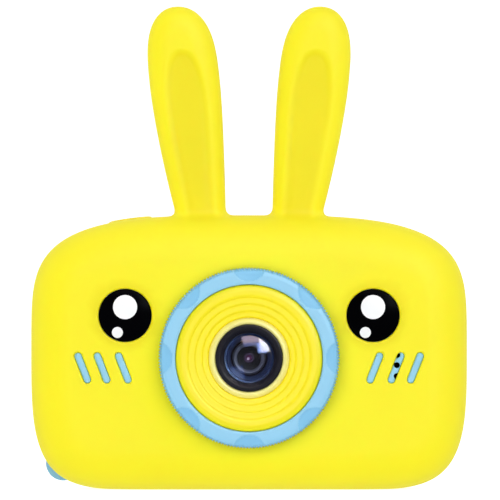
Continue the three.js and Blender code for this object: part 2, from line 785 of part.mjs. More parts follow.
function menuKey() {
  const { top, flangeY, stemEnd } = KEY;
  return join(
    plateY(lyingCapsule(MENU.length, MENU.width), [flangeY[1] - 0.1, top]),
    plateY(lyingCapsule(MENU.length + 1.4, MENU.width + 1.4), flangeY),
    barY(SWITCH.stem, [stemEnd, flangeY[0] + 0.1], 0, 0, 14),
  );
}

/** A top button: its cap follows the body's curve, above a stem, flange and pin. */
function topButton({ x, radius, proud, stem, flange }, below) {
  const cap = barZ(radius, [48, 66], x, TOP_Y, 20)
    .intersect(bodyAt(-proud))
    .subtract(below);
  return join(
    cap,
    barZ(stem, [TOP_CAP.flangeZ[0], 57.8], x, TOP_Y, 12),
    barZ(flange, TOP_CAP.flangeZ, x, TOP_Y, 14),
    barZ(TOP_CAP.stem, [TOP_CAP.stemEnd, 53], x, TOP_Y, 10),
  );
}

/** The rubber flap over the sockets, which follows the sleeve's side, with a plug for one socket. */
function portCover() {
  const outline = roundedRectangle(span(FLAP.z), span(FLAP.y), PORT.corner - GAP);
  const plate = plateX(outline, THROUGH_SIDE, middle(FLAP.y), middle(FLAP.z))
    .intersect(bodyAt(FLAP.skin))
    .subtract(bodyAt(FLAP.back));
  const plug = block(FLAP.plugX, FLAP.plugY, grown([USB.z, USB.z], 3.2));
  return plate.add(plug);
}

// ---------------------------------------------------------------- assembly

const camera = new THREE.Group();

function add(name, body, material, place = [0, 0, 0], parent = camera) {
  const mesh = new THREE.Mesh(geometryOf(body), material);
  mesh.name = name;
  mesh.position.set(...place);
  parent.add(mesh);
  return mesh;
}

add("silicone_sleeve", siliconeSleeve(), MATERIAL.yellowSilicone);
add("front_shell", frontShell(), MATERIAL.bluePlastic);
add("rear_shell", rearShell(), MATERIAL.bluePlastic);
const eyeBody = eye();
add("left_eye", eyeBody, MATERIAL.eyeBlack, [EYE.x, 0, EYE.z]);
add("right_eye", eyeBody, MATERIAL.eyeBlack, [-EYE.x, 0, EYE.z]);

// Everything on the lens axis shares one group.
const lensGroup = new THREE.Group();
lensGroup.position.set(LENS.x, 0, LENS.z);
camera.add(lensGroup);
const addLens = (name, body, material, place) => add(name, body, material, place, lensGroup);
addLens("lens_ring", lensRing(), MATERIAL.blueRing);
addLens("lens_dish", lensDish(), MATERIAL.yellowPlastic);
addLens("lens_barrel", lensBarrel(), MATERIAL.lensBlack);
addLens("front_lens", lensElement(5.1, -19, -17.9, -17.2, -16.95), MATERIAL.glass);
addLens(
  "lens_retainer",
  turned([[2.56, -13.6], [3.37, -13.8], [3.37, -12.9], [2.56, -12.9]], 20, true),
  MATERIAL.lensBlack,
);
addLens(
  "iris_plate",
  turned([[1, -12.5], [3.4, -12.5], [3.4, -12.1], [1, -12.1]], 16, true),
  MATERIAL.blackPlastic,
);
addLens("rear_lens", lensElement(3.3, -11.7, -10.8, -9.8, -9.4), MATERIAL.glass);
addLens("lens_holder", lensHolder(), MATERIAL.blackPlastic);
addLens("image_sensor", block([-4, 4], [1.6, 2.5], [-4, 4]), MATERIAL.chipBlack);
addLens("sensor_board", sensorBoard(), MATERIAL.circuitGreen);
addLens(
  "sensor_ribbon",
  ribbon([[4.3, -2], [4.3, -7.5], [5.2, -11], [9.2, -12.4], [10.9, -9], [11.05, -4]], 0.25, [-4, 4]),
  MATERIAL.ribbonOrange,
);
const smallScrew = screw(SMALL_SCREW);
for (const [side, name] of [
  [-1, "sensor_screw_1"],
  [1, "sensor_screw_2"],
]) {
  addLens(name, smallScrew, MATERIAL.steel, [
    side * SENSOR_BOARD.screwX,
    SENSOR_BOARD.y[1] + GAP,
    0,
  ]);
}

add("main_board", mainBoard(), MATERIAL.circuitGreen);
add("processor_chip", block([12, 22], [10.3, 11.3], [30, 40]), MATERIAL.chipBlack);
add("flash_chip", block([14, 22], [10.4, 11.3], [19, 25]), MATERIAL.chipBlack);
add("battery", battery(), MATERIAL.silverFoil, [BATTERY.x, 0, BATTERY.z]);
add(
  "battery_lead",
  wire([[-20, 8.2, 46.9], [-18, 8.4, 47.4], [-12, 9, 47], [-8.5, 9.8, 44], [-8, 10.4, 40]], 0.5),
  MATERIAL.wireRed,
);
add(
  "speaker_lead",
  wire([[27.5, -3.2, 30], [24.5, -1, 31], [23.6, 4, 29], [23.8, 8.6, 27.4], [23.9, 10.6, 27.2]], 0.45),
  MATERIAL.blackPlastic,
);
add("speaker", speaker(), MATERIAL.blackPlastic, [SPEAKER.x, 0, SPEAKER.z]);
add("microphone", barY(MICROPHONE.radius, [13.1, 14.6], 0, 0, 16), MATERIAL.steel, [
  MICROPHONE.x,
  0,
  MICROPHONE.z,
]);
add("usb_socket", usbSocket(), MATERIAL.steel);
add("card_socket", cardSocket(), MATERIAL.steel);
add("memory_card", memoryCard(), MATERIAL.blackPlastic);

const [windowWidth, windowHeight] = SCREEN.window;
add(
  "display_window",
  plateY(roundedRectangle(windowWidth, windowHeight, 2.7, 4), [CORE_BACK - 0.9, CORE_BACK]),
  MATERIAL.screenGlass,
  [SCREEN.x, 0, SCREEN.z],
);
const [panelWidth, panelHeight] = SCREEN.panel;
add(
  "display_panel",
  block(grown([0, 0], panelWidth / 2), SCREEN.panelY, grown([0, 0], panelHeight / 2)),
  MATERIAL.steel,
  [SCREEN.x, 0, SCREEN.z],
);
add(
  "display_ribbon",
  ribbon([[15.6, 13.2], [15.4, 11.6], [13.6, 10.8], [11.6, 11.3], [11.1, 13.4], [11.05, 17]], 0.25, [0, 9]),
  MATERIAL.ribbonOrange,
);

const keyBody = roundKey();
const backSwitch = pushSwitch(SWITCH.side, span(SWITCH.y), SWITCH.mouth, SWITCH.mouthDepth);
for (const [name, x, z] of padPlaces()) {
  add(`${name}_button`, keyBody, MATERIAL.yellowPlastic, [x, 0, z]);
  add(`${name}_switch`, backSwitch, MATERIAL.blackPlastic, [x, SWITCH.y[0], z]);
}
add("menu_button", menuKey(), MATERIAL.yellowPlastic, [MENU.x, 0, MENU.z]);
add("menu_switch", backSwitch, MATERIAL.blackPlastic, [MENU.x, SWITCH.y[0], MENU.z]);
add("charge_led", barY(LED.radius, [13.1, CORE_BACK], 0, 0, 14), MATERIAL.ledWhite, [LED.x, 0, LED.z]);

add("shutter_button", topButton(SHUTTER, bodyAt(TOP_CAP.thickness - SHUTTER.proud)), MATERIAL.yellowPlastic);
add("power_button", topButton(POWER, bodyAt(1.2)), MATERIAL.yellowPlastic);
add(
  "button_board",
  block(grown([0, 0], TOP_BOARD.halfLength), TOP_BOARD.y, TOP_BOARD.z),
  MATERIAL.circuitGreen,
);
const topSwitch = pushSwitch(TOP_SWITCH.side, span(TOP_SWITCH.z), TOP_SWITCH.mouth, TOP_SWITCH.mouthDepth);
for (const [name, { x }] of [
  ["shutter_switch", SHUTTER],
  ["power_switch", POWER],
]) {
  const mesh = add(name, topSwitch, MATERIAL.blackPlastic, [x, TOP_Y, TOP_SWITCH.z[0]]);
  mesh.rotation.x = Math.PI / 2;
}

add("port_cover", portCover(), MATERIAL.bluePlastic);
add("port_cover_strap", block(STRAP.x, STRAP.y, STRAP.z), MATERIAL.bluePlastic);

const caseScrew = screw({ ...CASE_SCREW, length: CASE_SCREW.seat - CASE_SCREW.tip });
CASE_SCREWS.forEach(([x, z], i) =>
  add(`case_screw_${i + 1}`, caseScrew, MATERIAL.steel, [x, CASE_SCREW.seat, z]),
);
// The board screws go in from the front of the board, so each is turned half round.
const boardScrew = screw(BOARD_SCREW);
BOARD_SCREWS.forEach(([x, z], i) => {
  const mesh = add(`board_screw_${i + 1}`, boardScrew, MATERIAL.steel, [x, BOARD.y[0] - GAP, z]);
  mesh.rotation.x = Math.PI;
});

export default camera;
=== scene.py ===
"""A children's digital camera in a yellow silicone sleeve with rabbit ears, dressed around its CAD frame.

Shapes are worked out in millimetres, in the frame's own axes: the lens faces -Y and the screen faces +Y.
Soft and moulded shells are signed distance fields turned into meshes, and turned parts are lathed.
"""
import math

import bmesh
import bpy
import numpy as np
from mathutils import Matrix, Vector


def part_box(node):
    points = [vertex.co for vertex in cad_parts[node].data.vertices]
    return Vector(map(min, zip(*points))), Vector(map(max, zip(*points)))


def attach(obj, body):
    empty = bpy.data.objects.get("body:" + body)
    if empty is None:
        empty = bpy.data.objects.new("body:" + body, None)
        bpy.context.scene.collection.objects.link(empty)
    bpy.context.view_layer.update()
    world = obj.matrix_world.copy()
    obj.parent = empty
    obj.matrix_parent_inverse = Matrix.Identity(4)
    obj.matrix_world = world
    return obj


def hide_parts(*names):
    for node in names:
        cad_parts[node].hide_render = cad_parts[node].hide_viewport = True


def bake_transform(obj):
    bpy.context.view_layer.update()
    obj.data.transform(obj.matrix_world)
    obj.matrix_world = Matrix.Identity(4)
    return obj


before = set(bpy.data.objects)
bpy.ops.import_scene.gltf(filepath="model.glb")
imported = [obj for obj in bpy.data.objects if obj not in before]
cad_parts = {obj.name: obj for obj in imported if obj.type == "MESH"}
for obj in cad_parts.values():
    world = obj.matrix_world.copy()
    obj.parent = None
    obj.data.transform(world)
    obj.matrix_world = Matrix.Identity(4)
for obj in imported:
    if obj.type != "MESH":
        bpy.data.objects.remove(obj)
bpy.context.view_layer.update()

import openvdb
from mathutils import Vector

MM = 0.001
COARSE = 1.0


def span(node):
    """Lowest and highest corner of a CAD node, in millimetres."""
    low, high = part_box(node)
    return np.array(low) / MM, np.array(high) / MM


def centre(node):
    low, high = span(node)
    return (low + high) / 2


def axis_of(node):
    """A place on the line along Y through a CAD node's middle."""
    middle = centre(node)
    return middle[0], 0, middle[2]


# ---- sizes

SLEEVE_LOW, SLEEVE_HIGH = span("silicone_sleeve")
CORE_TOP = span("front_shell")[1][2]
WALL = 1.8  # of the sleeve, and of the shells inside it
CORE_SKIN = 2.1  # from the sleeve's surface to the shells' surface
CORE_INSIDE = CORE_SKIN + WALL
LIP_INSET = 8.0  # from the outline to the edge of the sleeve's rear opening

HALF_WIDTH = SLEEVE_HIGH[0]
BODY_TOP = CORE_TOP + CORE_SKIN
WIDEST_Z = 29.5
BELOW_BASE = 0.25  # the outline runs a little under the flat base, which cuts it
TOP_POWERS = (3.3, 4.5)  # of the superellipse, along x and z
BOTTOM_POWERS = (7.9, 3.4)
FRONT_Y = SLEEVE_LOW[1]
REAR_Y = SLEEVE_HIGH[1]
FRONT_EDGE = (9.0, 9.6)  # inset and depth of the rounded front edge
REAR_EDGE = (6.0, 7.0)
CROWN = 0.7  # how far the middle of the front face stands out
SPLIT_Y = (span("rear_shell")[0][1] - 1.65) / 2  # between the two shells

EAR_RISE = SLEEVE_HIGH[2] - BODY_TOP
EAR_OFFSET = 10.5
EAR_LEAN = 5.0
EAR_HALF_WIDTH = 7.72
EAR_HALF_THICKNESS = 4.8
EAR_Y = -1.0
EAR_WIDEST = 0.62
EAR_HOLLOW_ARCH = 81.7  # the height at which the hollow's arched top begins
EAR_HOLLOW_ARCH_HEIGHT = 13.6
EAR_HOLLOW_DEPTH = 0.6
EAR_JOIN = 1.8  # blend of the ears into the body

LENS = centre("lens_ring")
RING_FRONT = span("lens_ring")[0][1]
LEFT_EYE = centre("left_eye")
EYE_RADIUS = (span("left_eye")[1][0] - span("left_eye")[0][0]) / 2
EYE_HOLE = EYE_RADIUS + 0.17
EYE_RIM_Y = -12.05
EYE_RISE = 0.85  # of the eye's dome
CHEEK_X = (27.3, 31.9, 36.1)
CHEEK_Z = 26.6
CHEEK_TILT = math.radians(21.5)
SLOT_LENGTH = 7.1
SLOT_RADIUS = 0.8
SLOT_HALF = SLOT_LENGTH / 2 - SLOT_RADIUS  # half of a slot's straight part
SOUND_X = centre("speaker")[0] - 0.1
SOUND_Z = (24.8, 27.2, 29.4)
SOUND_RADIUS = 0.63

SHUTTER = centre("shutter_button")
POWER = centre("power_button")
SHUTTER_HOLE = 5.3
POWER_HOLE = 3.7
LENS_HOLE = 18.3
FRONT_WALL_Y = -6  # what is cut into the front wall stops here
BOSS_RADIUS = 3.0
SCREW_HOLE = 1.3
SCREW_HEAD_HOLE = 2.3
KEY_HOLE = 3.62
KEYS = ("up", "down", "left", "right", "ok")
LUG = np.array([-40.4, 9.7, 5.8])
EYELET = LUG - (0.3, 0, 0.3)
CORD_HOLE = LUG - (0.64, 0, 0.64)
LUG_RADIUS = 3.8
LUG_HALF = 1.7
PORT_FLOOR = (41.4, 42.6)
USB = centre("usb_socket")
CASE_SCREWS = [centre(f"case_screw_{i}") for i in range(1, 5)]
BOARD_SCREWS = [centre(f"board_screw_{i}") for i in range(1, 4)]
AXIS = axis_of("lens_ring")


# ---- meshes

def places_of(mesh):
    """The places of a mesh's vertices, in metres."""
    places = np.empty(len(mesh.vertices) * 3, np.float32)
    mesh.vertices.foreach_get("co", places)
    return places.reshape(-1, 3)


def outward(mesh):
    """Turns the faces of a closed mesh to face out."""
    mesh.calc_loop_triangles()
    corners = np.empty(len(mesh.loop_triangles) * 3, np.int32)
    mesh.loop_triangles.foreach_get("vertices", corners)
    a, b, c = places_of(mesh)[corners.reshape(-1, 3)].transpose(1, 0, 2).astype(float)
    if np.einsum("ij,ij->i", a, np.cross(b, c)).sum() < 0:
        mesh.flip_normals()


def make_mesh(vertices, faces, crease=None):
    """A closed mesh from vertices in millimetres, shaded smooth except at edges sharper than crease."""
    vertices = np.asarray(vertices, float) * MM
    mesh = bpy.data.meshes.new("shape")
    mesh.from_pydata(vertices.tolist(), [], [list(map(int, face)) for face in faces])
    work = bmesh.new()
    work.from_mesh(mesh)
    bmesh.ops.remove_doubles(work, verts=work.verts, dist=2e-6)
    bmesh.ops.dissolve_degenerate(work, edges=work.edges, dist=1e-7)
    work.to_mesh(mesh)
    work.free()
    outward(mesh)
    mesh.shade_smooth()
    if crease is not None:
        mesh.set_sharp_from_angle(angle=math.radians(crease))
    return mesh


def linked(name, data):
    """A new object in the scene."""
    made = bpy.data.objects.new(name, data)
    bpy.context.scene.collection.objects.link(made)
    return made


def piece(name, mesh, material, body="camera", replaces=()):
    """A visible piece, which rides on a CAD body if one is given and may stand for CAD nodes."""
    mesh.name = name
    made = linked(name, mesh)
    if not mesh.materials:
        mesh.materials.append(material)
    if body:
        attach(made, body)
    if replaces:
        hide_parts(*replaces)
    return made


def eased(points, radius, steps=4, closed=False):
    """A polyline with its corners rounded, by a small curve that starts radius before each corner."""
    points = [np.array(p, float) for p in points]
    count = len(points)
    out = []
    for i, corner in enumerate(points):
        if not closed and i in (0, count - 1):
            out.append(corner)
            continue
        before, after = points[i - 1] - corner, points[(i + 1) % count] - corner
        lengths = np.linalg.norm(before), np.linalg.norm(after)
        start = corner + before / lengths[0] * min(radius, 0.45 * lengths[0])
        end = corner + after / lengths[1] * min(radius, 0.45 * lengths[1])
        for t in np.linspace(0, 1, steps + 1):
            out.append((1 - t) ** 2 * start + 2 * t * (1 - t) * corner + t * t * end)
    return out


def lathe(profile, place, sides=96, closed=False, shape=None, crease=35):
    """A body turned about a line along Y through place, from a profile of (radius, y).

    shape(angle, radius, y) may move the points, for serrations, scallops and recesses.
    """
    profile = np.array(profile, float)
    angle = np.linspace(0, 2 * math.pi, sides, endpoint=False)[:, None]
    radius = np.broadcast_to(profile[:, 0], (sides, len(profile)))
    depth = np.broadcast_to(profile[:, 1], (sides, len(profile)))
    if shape:
        radius, depth = shape(angle, radius, depth)
    vertices = np.stack([radius * np.sin(angle), depth, radius * np.cos(angle)], -1) + place
    return make_mesh(vertices.reshape(-1, 3), band_faces(sides, len(profile), closed, True), crease)


def band_faces(rings, count, around=True, wrap=False):
    """Faces between rings of count vertices. around closes each ring, wrap joins the last to the first."""
    faces = []
    for ring in range(rings if wrap else rings - 1):
        a, b = ring * count, (ring + 1) % rings * count
        for i in range(count if around else count - 1):
            k = (i + 1) % count
            faces.append((a + i, a + k, b + k, b + i))
    return faces


def capped(rings, count):
    """The faces of a tube of rings, with both ends closed."""
    return [range(count)[::-1], range((rings - 1) * count, rings * count)] + band_faces(rings, count)


def rounded_rectangle(width, height, corner, steps=8):
    """Points of a rectangle with round corners, centred on the origin."""
    points = []
    for quarter, (sx, sy) in enumerate(((1, 1), (-1, 1), (-1, -1), (1, -1))):
        for step in range(steps + 1):
            angle = math.pi / 2 * (quarter + step / steps)
            points.append(
                (sx * (width / 2 - corner) + corner * math.cos(angle),
                 sy * (height / 2 - corner) + corner * math.sin(angle))
            )
    return np.array(points)


def inset(points, amount):
    """A convex outline moved inwards along its corners' normals."""
    before, after = np.roll(points, 1, 0), np.roll(points, -1, 0)
    along = after - before
    normal = np.stack([along[:, 1], -along[:, 0]], -1) / np.linalg.norm(along, axis=1, keepdims=True)
    return points - normal * amount


def slab(points, low, high, bevel, place, axis="y"):
    """A flat plate from an outline, with rounded rims, between two places along Y or X."""
    rings = []
    for step in range(4):
        angle = math.pi / 2 * step / 3
        rings.append((bevel * (1 - math.sin(angle)), low + bevel * (1 - math.cos(angle))))
    rings += [(amount, high - (height - low)) for amount, height in reversed(rings)]
    vertices = []
    for amount, height in rings:
        for u, v in inset(points, amount):
            vertices.append((u, height, v) if axis == "y" else (height, u, v))
    return make_mesh(np.array(vertices) + np.array(place, float), capped(len(rings), len(points)), 35)


# ---- distance fields

def polygon_distance(polygon, u, v):
    """Signed distance to a closed polygon, negative inside."""
    best = np.full(np.broadcast(u, v).shape, np.inf)
    inside = np.zeros(best.shape, bool)
    for (au, av), (bu, bv) in zip(polygon, np.roll(polygon, -1, axis=0)):
        eu, ev = bu - au, bv - av
        share = np.clip(((u - au) * eu + (v - av) * ev) / (eu * eu + ev * ev), 0, 1)
        best = np.minimum(best, (u - au - share * eu) ** 2 + (v - av - share * ev) ** 2)
        if av != bv:
            inside ^= ((av > v) != (bv > v)) & (u < au + (v - av) * eu / ev)
    return np.where(inside, -1, 1) * np.sqrt(best)


class Table:
    """Signed distance to a closed polygon, sampled once on a grid and read between its points."""

    def __init__(self, polygon, low, high, step):
        self.low, self.step = np.array(low, float), step
        u = np.arange(low[0], high[0] + step, step)
        v = np.arange(low[1], high[1] + step, step)
        self.values = polygon_distance(np.array(polygon), u[:, None], v[None, :])

    def __call__(self, u, v):
        fu = np.clip((u - self.low[0]) / self.step, 0, self.values.shape[0] - 1.001)
        fv = np.clip((v - self.low[1]) / self.step, 0, self.values.shape[1] - 1.001)
        iu, iv = fu.astype(np.int32), fv.astype(np.int32)
        fu, fv = fu - iu, fv - iv
        t = self.values
        return (t[iu, iv] * (1 - fu) + t[iu + 1, iv] * fu) * (1 - fv) + (
            t[iu, iv + 1] * (1 - fu) + t[iu + 1, iv + 1] * fu
        ) * fv


def smooth_min(a, b, blend):
    near = np.clip(blend - np.abs(a - b), 0, None) / blend
    return np.minimum(a, b) - near * near * blend / 4


def smooth_max(a, b, blend):
    return -smooth_min(-a, -b, blend)


def carve(field, tool, blend=0.6):
    return smooth_max(field, -tool, blend)


def ramp(value, low, high):
    t = np.clip((value - low) / (high - low), 0, 1)
    return t * t * (3 - 2 * t)


def rod_y(x, y, z, place, radius, low=-50, high=50):
    """Distance to a round bar along Y, at place's x and z."""
    across = np.hypot(x - place[0], z - place[-1]) - radius
    return np.maximum(across, np.maximum(low - y, y - high))


def rod_z(x, y, z, place, radius, low, high):
    across = np.hypot(x - place[0], y - place[1]) - radius
    return np.maximum(across, np.maximum(low - z, z - high))


def brick(x, y, z, low, high, corner=0.0):
    """Distance to a box with rounded edges."""
    d = [np.maximum(a - p, p - b) + corner for p, a, b in zip((x, y, z), low, high)]
    outside = np.sqrt(sum(np.maximum(k, 0) ** 2 for k in d))
    return outside + np.minimum(np.maximum(np.maximum(d[0], d[1]), d[2]), 0) - corner


def capsule_xz(x, z, place, half_length, radius, tilt):
    """Distance in the XZ plane to a slot's outline, leaning from the vertical by tilt."""
    along = np.array([math.sin(tilt), math.cos(tilt)])
    u, w = x - place[0], z - place[1]
    reach = np.clip(u * along[0] + w * along[1], -half_length, half_length)
    return np.hypot(u - reach * along[0], w - reach * along[1]) - radius


def slope(field, points, step):
    """The field's gradient at each point."""
    parts = [field(*(points + side).T) - field(*(points - side).T) for side in np.eye(3) * step]
    return np.stack(parts, -1) / (2 * step)


def settled(field, points, reach):
    """Points pulled onto the field's zero surface, by at most reach in each of two steps."""
    for _ in range(2):
        towards = slope(field, points, 0.04)
        square = np.maximum((towards**2).sum(1, keepdims=True), 0.2)
        move = -field(*points.T)[:, None] * towards / square
        length = np.linalg.norm(move, axis=1, keepdims=True)
        points = points + move * np.minimum(1, reach / np.maximum(length, 1e-9))
    return points


def surface(field, low, high, voxel, keep):
    """A mesh of a field's zero surface inside a box, thinned where it is flattest, shaded by the slope."""
    voxel *= COARSE
    low = np.array(low, float)
    counts = np.ceil((np.array(high, float) - low) / voxel).astype(int) + 1
    axes = [low[i] + voxel * np.arange(counts[i]) for i in range(3)]
    x, y, z = np.meshgrid(*axes, indexing="ij", sparse=True)
    values = np.ascontiguousarray(np.broadcast_to(field(x, y, z), counts), np.float32)
    grid = openvdb.FloatGrid(float(values.max()))
    grid.copyFromArray(values)
    points, triangles, quads = grid.convertToPolygons(isovalue=0.0)
    points = settled(field, low + points.astype(float) * voxel, voxel / 2)
    mesh = thinned(make_mesh(points, list(quads) + list(triangles)), keep)
    points = settled(field, places_of(mesh) / MM, voxel / 4)
    mesh.vertices.foreach_set("co", (points * MM).astype(np.float32).ravel())
    normals = slope(field, points, voxel / COARSE / 2)
    mesh.normals_split_custom_set_from_vertices(normals / np.linalg.norm(normals, axis=1, keepdims=True))
    return mesh


def thinned(mesh, keep):
    """The mesh with a share of its faces kept, taken away where it is flattest."""
    holder = linked("thinning", mesh)
    holder.modifiers.new("thin", "DECIMATE").ratio = keep
    depsgraph = bpy.context.evaluated_depsgraph_get()
    slim = bpy.data.meshes.new_from_object(holder.evaluated_get(depsgraph))
    bpy.data.objects.remove(holder)
    slim.shade_smooth()
    return slim


# ---- the rounded body

def superellipse():
    """The body's outline seen from the front, as (x, z)."""
    out = []
    for angle in np.linspace(0, 2 * math.pi, 720, endpoint=False):
        c, s = math.cos(angle), math.sin(angle)
        above = s >= 0
        rise = BODY_TOP - WIDEST_Z if above else WIDEST_Z + BELOW_BASE
        px, pz = TOP_POWERS if above else BOTTOM_POWERS
        out.append(
            (math.copysign(HALF_WIDTH * abs(c) ** (2 / px), c),
             WIDEST_Z + math.copysign(rise * abs(s) ** (2 / pz), s))
        )
    return np.array(out)


def side_profile(front, rear, front_edge, rear_edge):
    """The side view as (inset, y): flat faces joined to straight sides by elliptical edges."""
    deep = 60.0
    quarter = np.linspace(0, math.pi / 2, 24)
    points = [(deep, front)]
    for a in quarter:
        points.append((front_edge[0] * (1 - math.sin(a)), front + front_edge[1] * (1 - math.cos(a))))
    for a in quarter:
        points.append((rear_edge[0] * (1 - math.cos(a)), rear - rear_edge[1] * (1 - math.sin(a))))
    return points + [(deep, rear)]


front_view = Table(superellipse(), (-52, -5), (52, 65), 0.2)
side_view = Table(side_profile(FRONT_Y, REAR_Y, FRONT_EDGE, REAR_EDGE), (-8, -26), (34, 26), 0.1)


def inset_at(x, z):
    """How far inside the outline a point lies, seen from the front."""
    return -front_view(x, z)


def body(x, y, z):
    """Distance to the sleeve's outer surface, without ears or openings. The front face is crowned."""
    across = 1 - (x / HALF_WIDTH) ** 2
    up = 1 - ((z - BODY_TOP / 2) / (BODY_TOP / 2)) ** 2
    crown = CROWN * np.clip(across, 0, 1) * np.clip(up, 0, 1)
    return side_view(inset_at(x, z), y + crown * ramp(-y, -2, 8))


# ---- the sleeve with its ears

def ear_middle(share):
    return EAR_OFFSET + EAR_LEAN * (1.3 * share - 0.3 * share**2)


def ear_half_width(share):
    if share < EAR_WIDEST:
        return EAR_HALF_WIDTH * (1 - 0.294 * (1 - share / EAR_WIDEST) ** 1.5)
    return EAR_HALF_WIDTH * (1 - ((share - EAR_WIDEST) / (1 - EAR_WIDEST)) ** 3.3) ** (1 / 2.1)


def ear_outline():
    """The ear at +X seen from the front, from below the body's top to the tip, as (x, z)."""
    shares = list(np.linspace(-0.2, 0.7, 40)) + list(1 - 0.3 * np.linspace(1, 0, 60)[1:] ** 2.5)
    outer, inner = (
        [(ear_middle(s) + side * ear_half_width(max(s, 0)), BODY_TOP + s * EAR_RISE) for s in shares]
        for side in (1, -1)
    )
    return np.array(outer + inner[-2::-1])


ear_front_view = Table(ear_outline(), (0, 45), (28, 110), 0.15)
ear_side_view = Table(
    side_profile(-EAR_HALF_THICKNESS, EAR_HALF_THICKNESS, (5.0, 4.2), (5.2, 4.6)), (-8, -12), (14, 12), 0.1
)


def ears(x, y, z):
    """Distance to both ears, each with a long shallow hollow down its front."""
    deep = -ear_front_view(np.abs(x), z)
    hollow = EAR_HOLLOW_DEPTH * hollow_share(x, z)
    front = (EAR_Y - y) * EAR_HALF_THICKNESS / (EAR_HALF_THICKNESS - hollow)
    return ear_side_view(deep, np.where(y < EAR_Y, -front, y - EAR_Y))


def hollow_share(x, z):
    """How deep the ears' hollows are at a point seen from the front, from 0 at the rim to 1."""
    share = (z - BODY_TOP) / EAR_RISE
    half_width = 2.95 + 2.6 * np.clip(share, 0, 0.48)
    across = np.abs(np.abs(x) - ear_middle(share) + 0.1) / half_width
    along = np.maximum(z - EAR_HOLLOW_ARCH, 0) / EAR_HOLLOW_ARCH_HEIGHT
    reach = np.maximum((across**2.5 + along**2.5) ** 0.4, 0.001)
    steepness = np.hypot(
        (across / reach) ** 1.5 / half_width, (along / reach) ** 1.5 / EAR_HOLLOW_ARCH_HEIGHT
    )
    aside = (reach - 1) / np.maximum(steepness, 0.01)
    return (1 - ramp(aside, -1.0, 0.9)) * ramp(share, -0.04, 0.02)


def round_eye(x, z):
    """Distance to the edge of the nearer eye's hole, seen from the front."""
    return np.hypot(np.abs(x) - LEFT_EYE[0], z - LEFT_EYE[2]) - EYE_HOLE


def side_opening(x, y, z):
    """The hole in the sleeve's side that the port cover fills."""
    low, high = span("port_cover")
    strap_low = span("port_cover_strap")[0]
    return brick(x, y, z, (40, low[1] - 0.3, strap_low[2] - 0.3), (55, high[1] + 0.3, high[2] + 0.4), 2.2)


def sleeve(x, y, z):
    skin = body(x, y, z)
    shape = smooth_min(skin, ears(x, y, z), EAR_JOIN)
    shape = smooth_max(shape, -(skin + WALL), 0.4)
    front_only = y - FRONT_WALL_Y
    back = np.maximum(LIP_INSET - inset_at(x, z), 10 - y)
    shape = carve(shape, back, 1.5)
    shape = carve(shape, rod_y(x, y, z, LENS, LENS_HOLE, high=FRONT_WALL_Y), 0.8)
    shape = carve(shape, np.maximum(round_eye(x, z), front_only), 0.5)
    for mark in CHEEK_X:
        slot = capsule_xz(np.abs(x), z, (mark, CHEEK_Z), SLOT_HALF, SLOT_RADIUS, CHEEK_TILT)
        shape = carve(shape, np.maximum(slot, front_only), 0.45)
    shape = carve(shape, rod_z(x, y, z, SHUTTER, SHUTTER_HOLE, 50, 70), 0.8)
    shape = carve(shape, rod_z(x, y, z, POWER, POWER_HOLE, 50, 70), 0.8)
    shape = carve(shape, side_opening(x, y, z), 0.8)
    beside_lip = np.minimum(y - 15, inset_at(x, z) - 5.2)  # the notch leaves the rear lip a strip to pass by
    shape = carve(shape, smooth_max(rod_y(x, y, z, LUG, 4.6, low=4.6), beside_lip, 1.0), 0.8)
    return smooth_max(shape, -z, 0.3)


# ---- the two shells inside

def front_case(x, y, z):
    """The front half of the blue body, with the turret that carries the lens ring."""
    skin = body(x, y, z)
    shape = np.maximum(np.maximum(skin + CORE_SKIN, -(skin + CORE_INSIDE)), y - SPLIT_Y + 0.15)
    tube = np.maximum(rod_y(x, y, z, LENS, 17.4, -18.3, -9), -rod_y(x, y, z, LENS, 15.95))
    shape = smooth_min(shape, tube, 0.8)
    for place in CASE_SCREWS:
        base = skin + CORE_INSIDE - 1 + ramp(y, -3, 1) * 1.4
        boss = np.maximum(rod_y(x, y, z, place, BOSS_RADIUS, high=9.5), base)
        shape = smooth_min(shape, boss, 0.8)
        shape = carve(shape, rod_y(x, y, z, place, SCREW_HOLE, low=3.8), 0.3)
    shape = carve(shape, rod_y(x, y, z, LENS, 9.0, high=FRONT_WALL_Y), 0.6)
    shape = carve(shape, np.maximum(np.hypot(x - SOUND_X, z - CHEEK_Z) - 3.2, y - FRONT_WALL_Y), 0.4)
    return shape


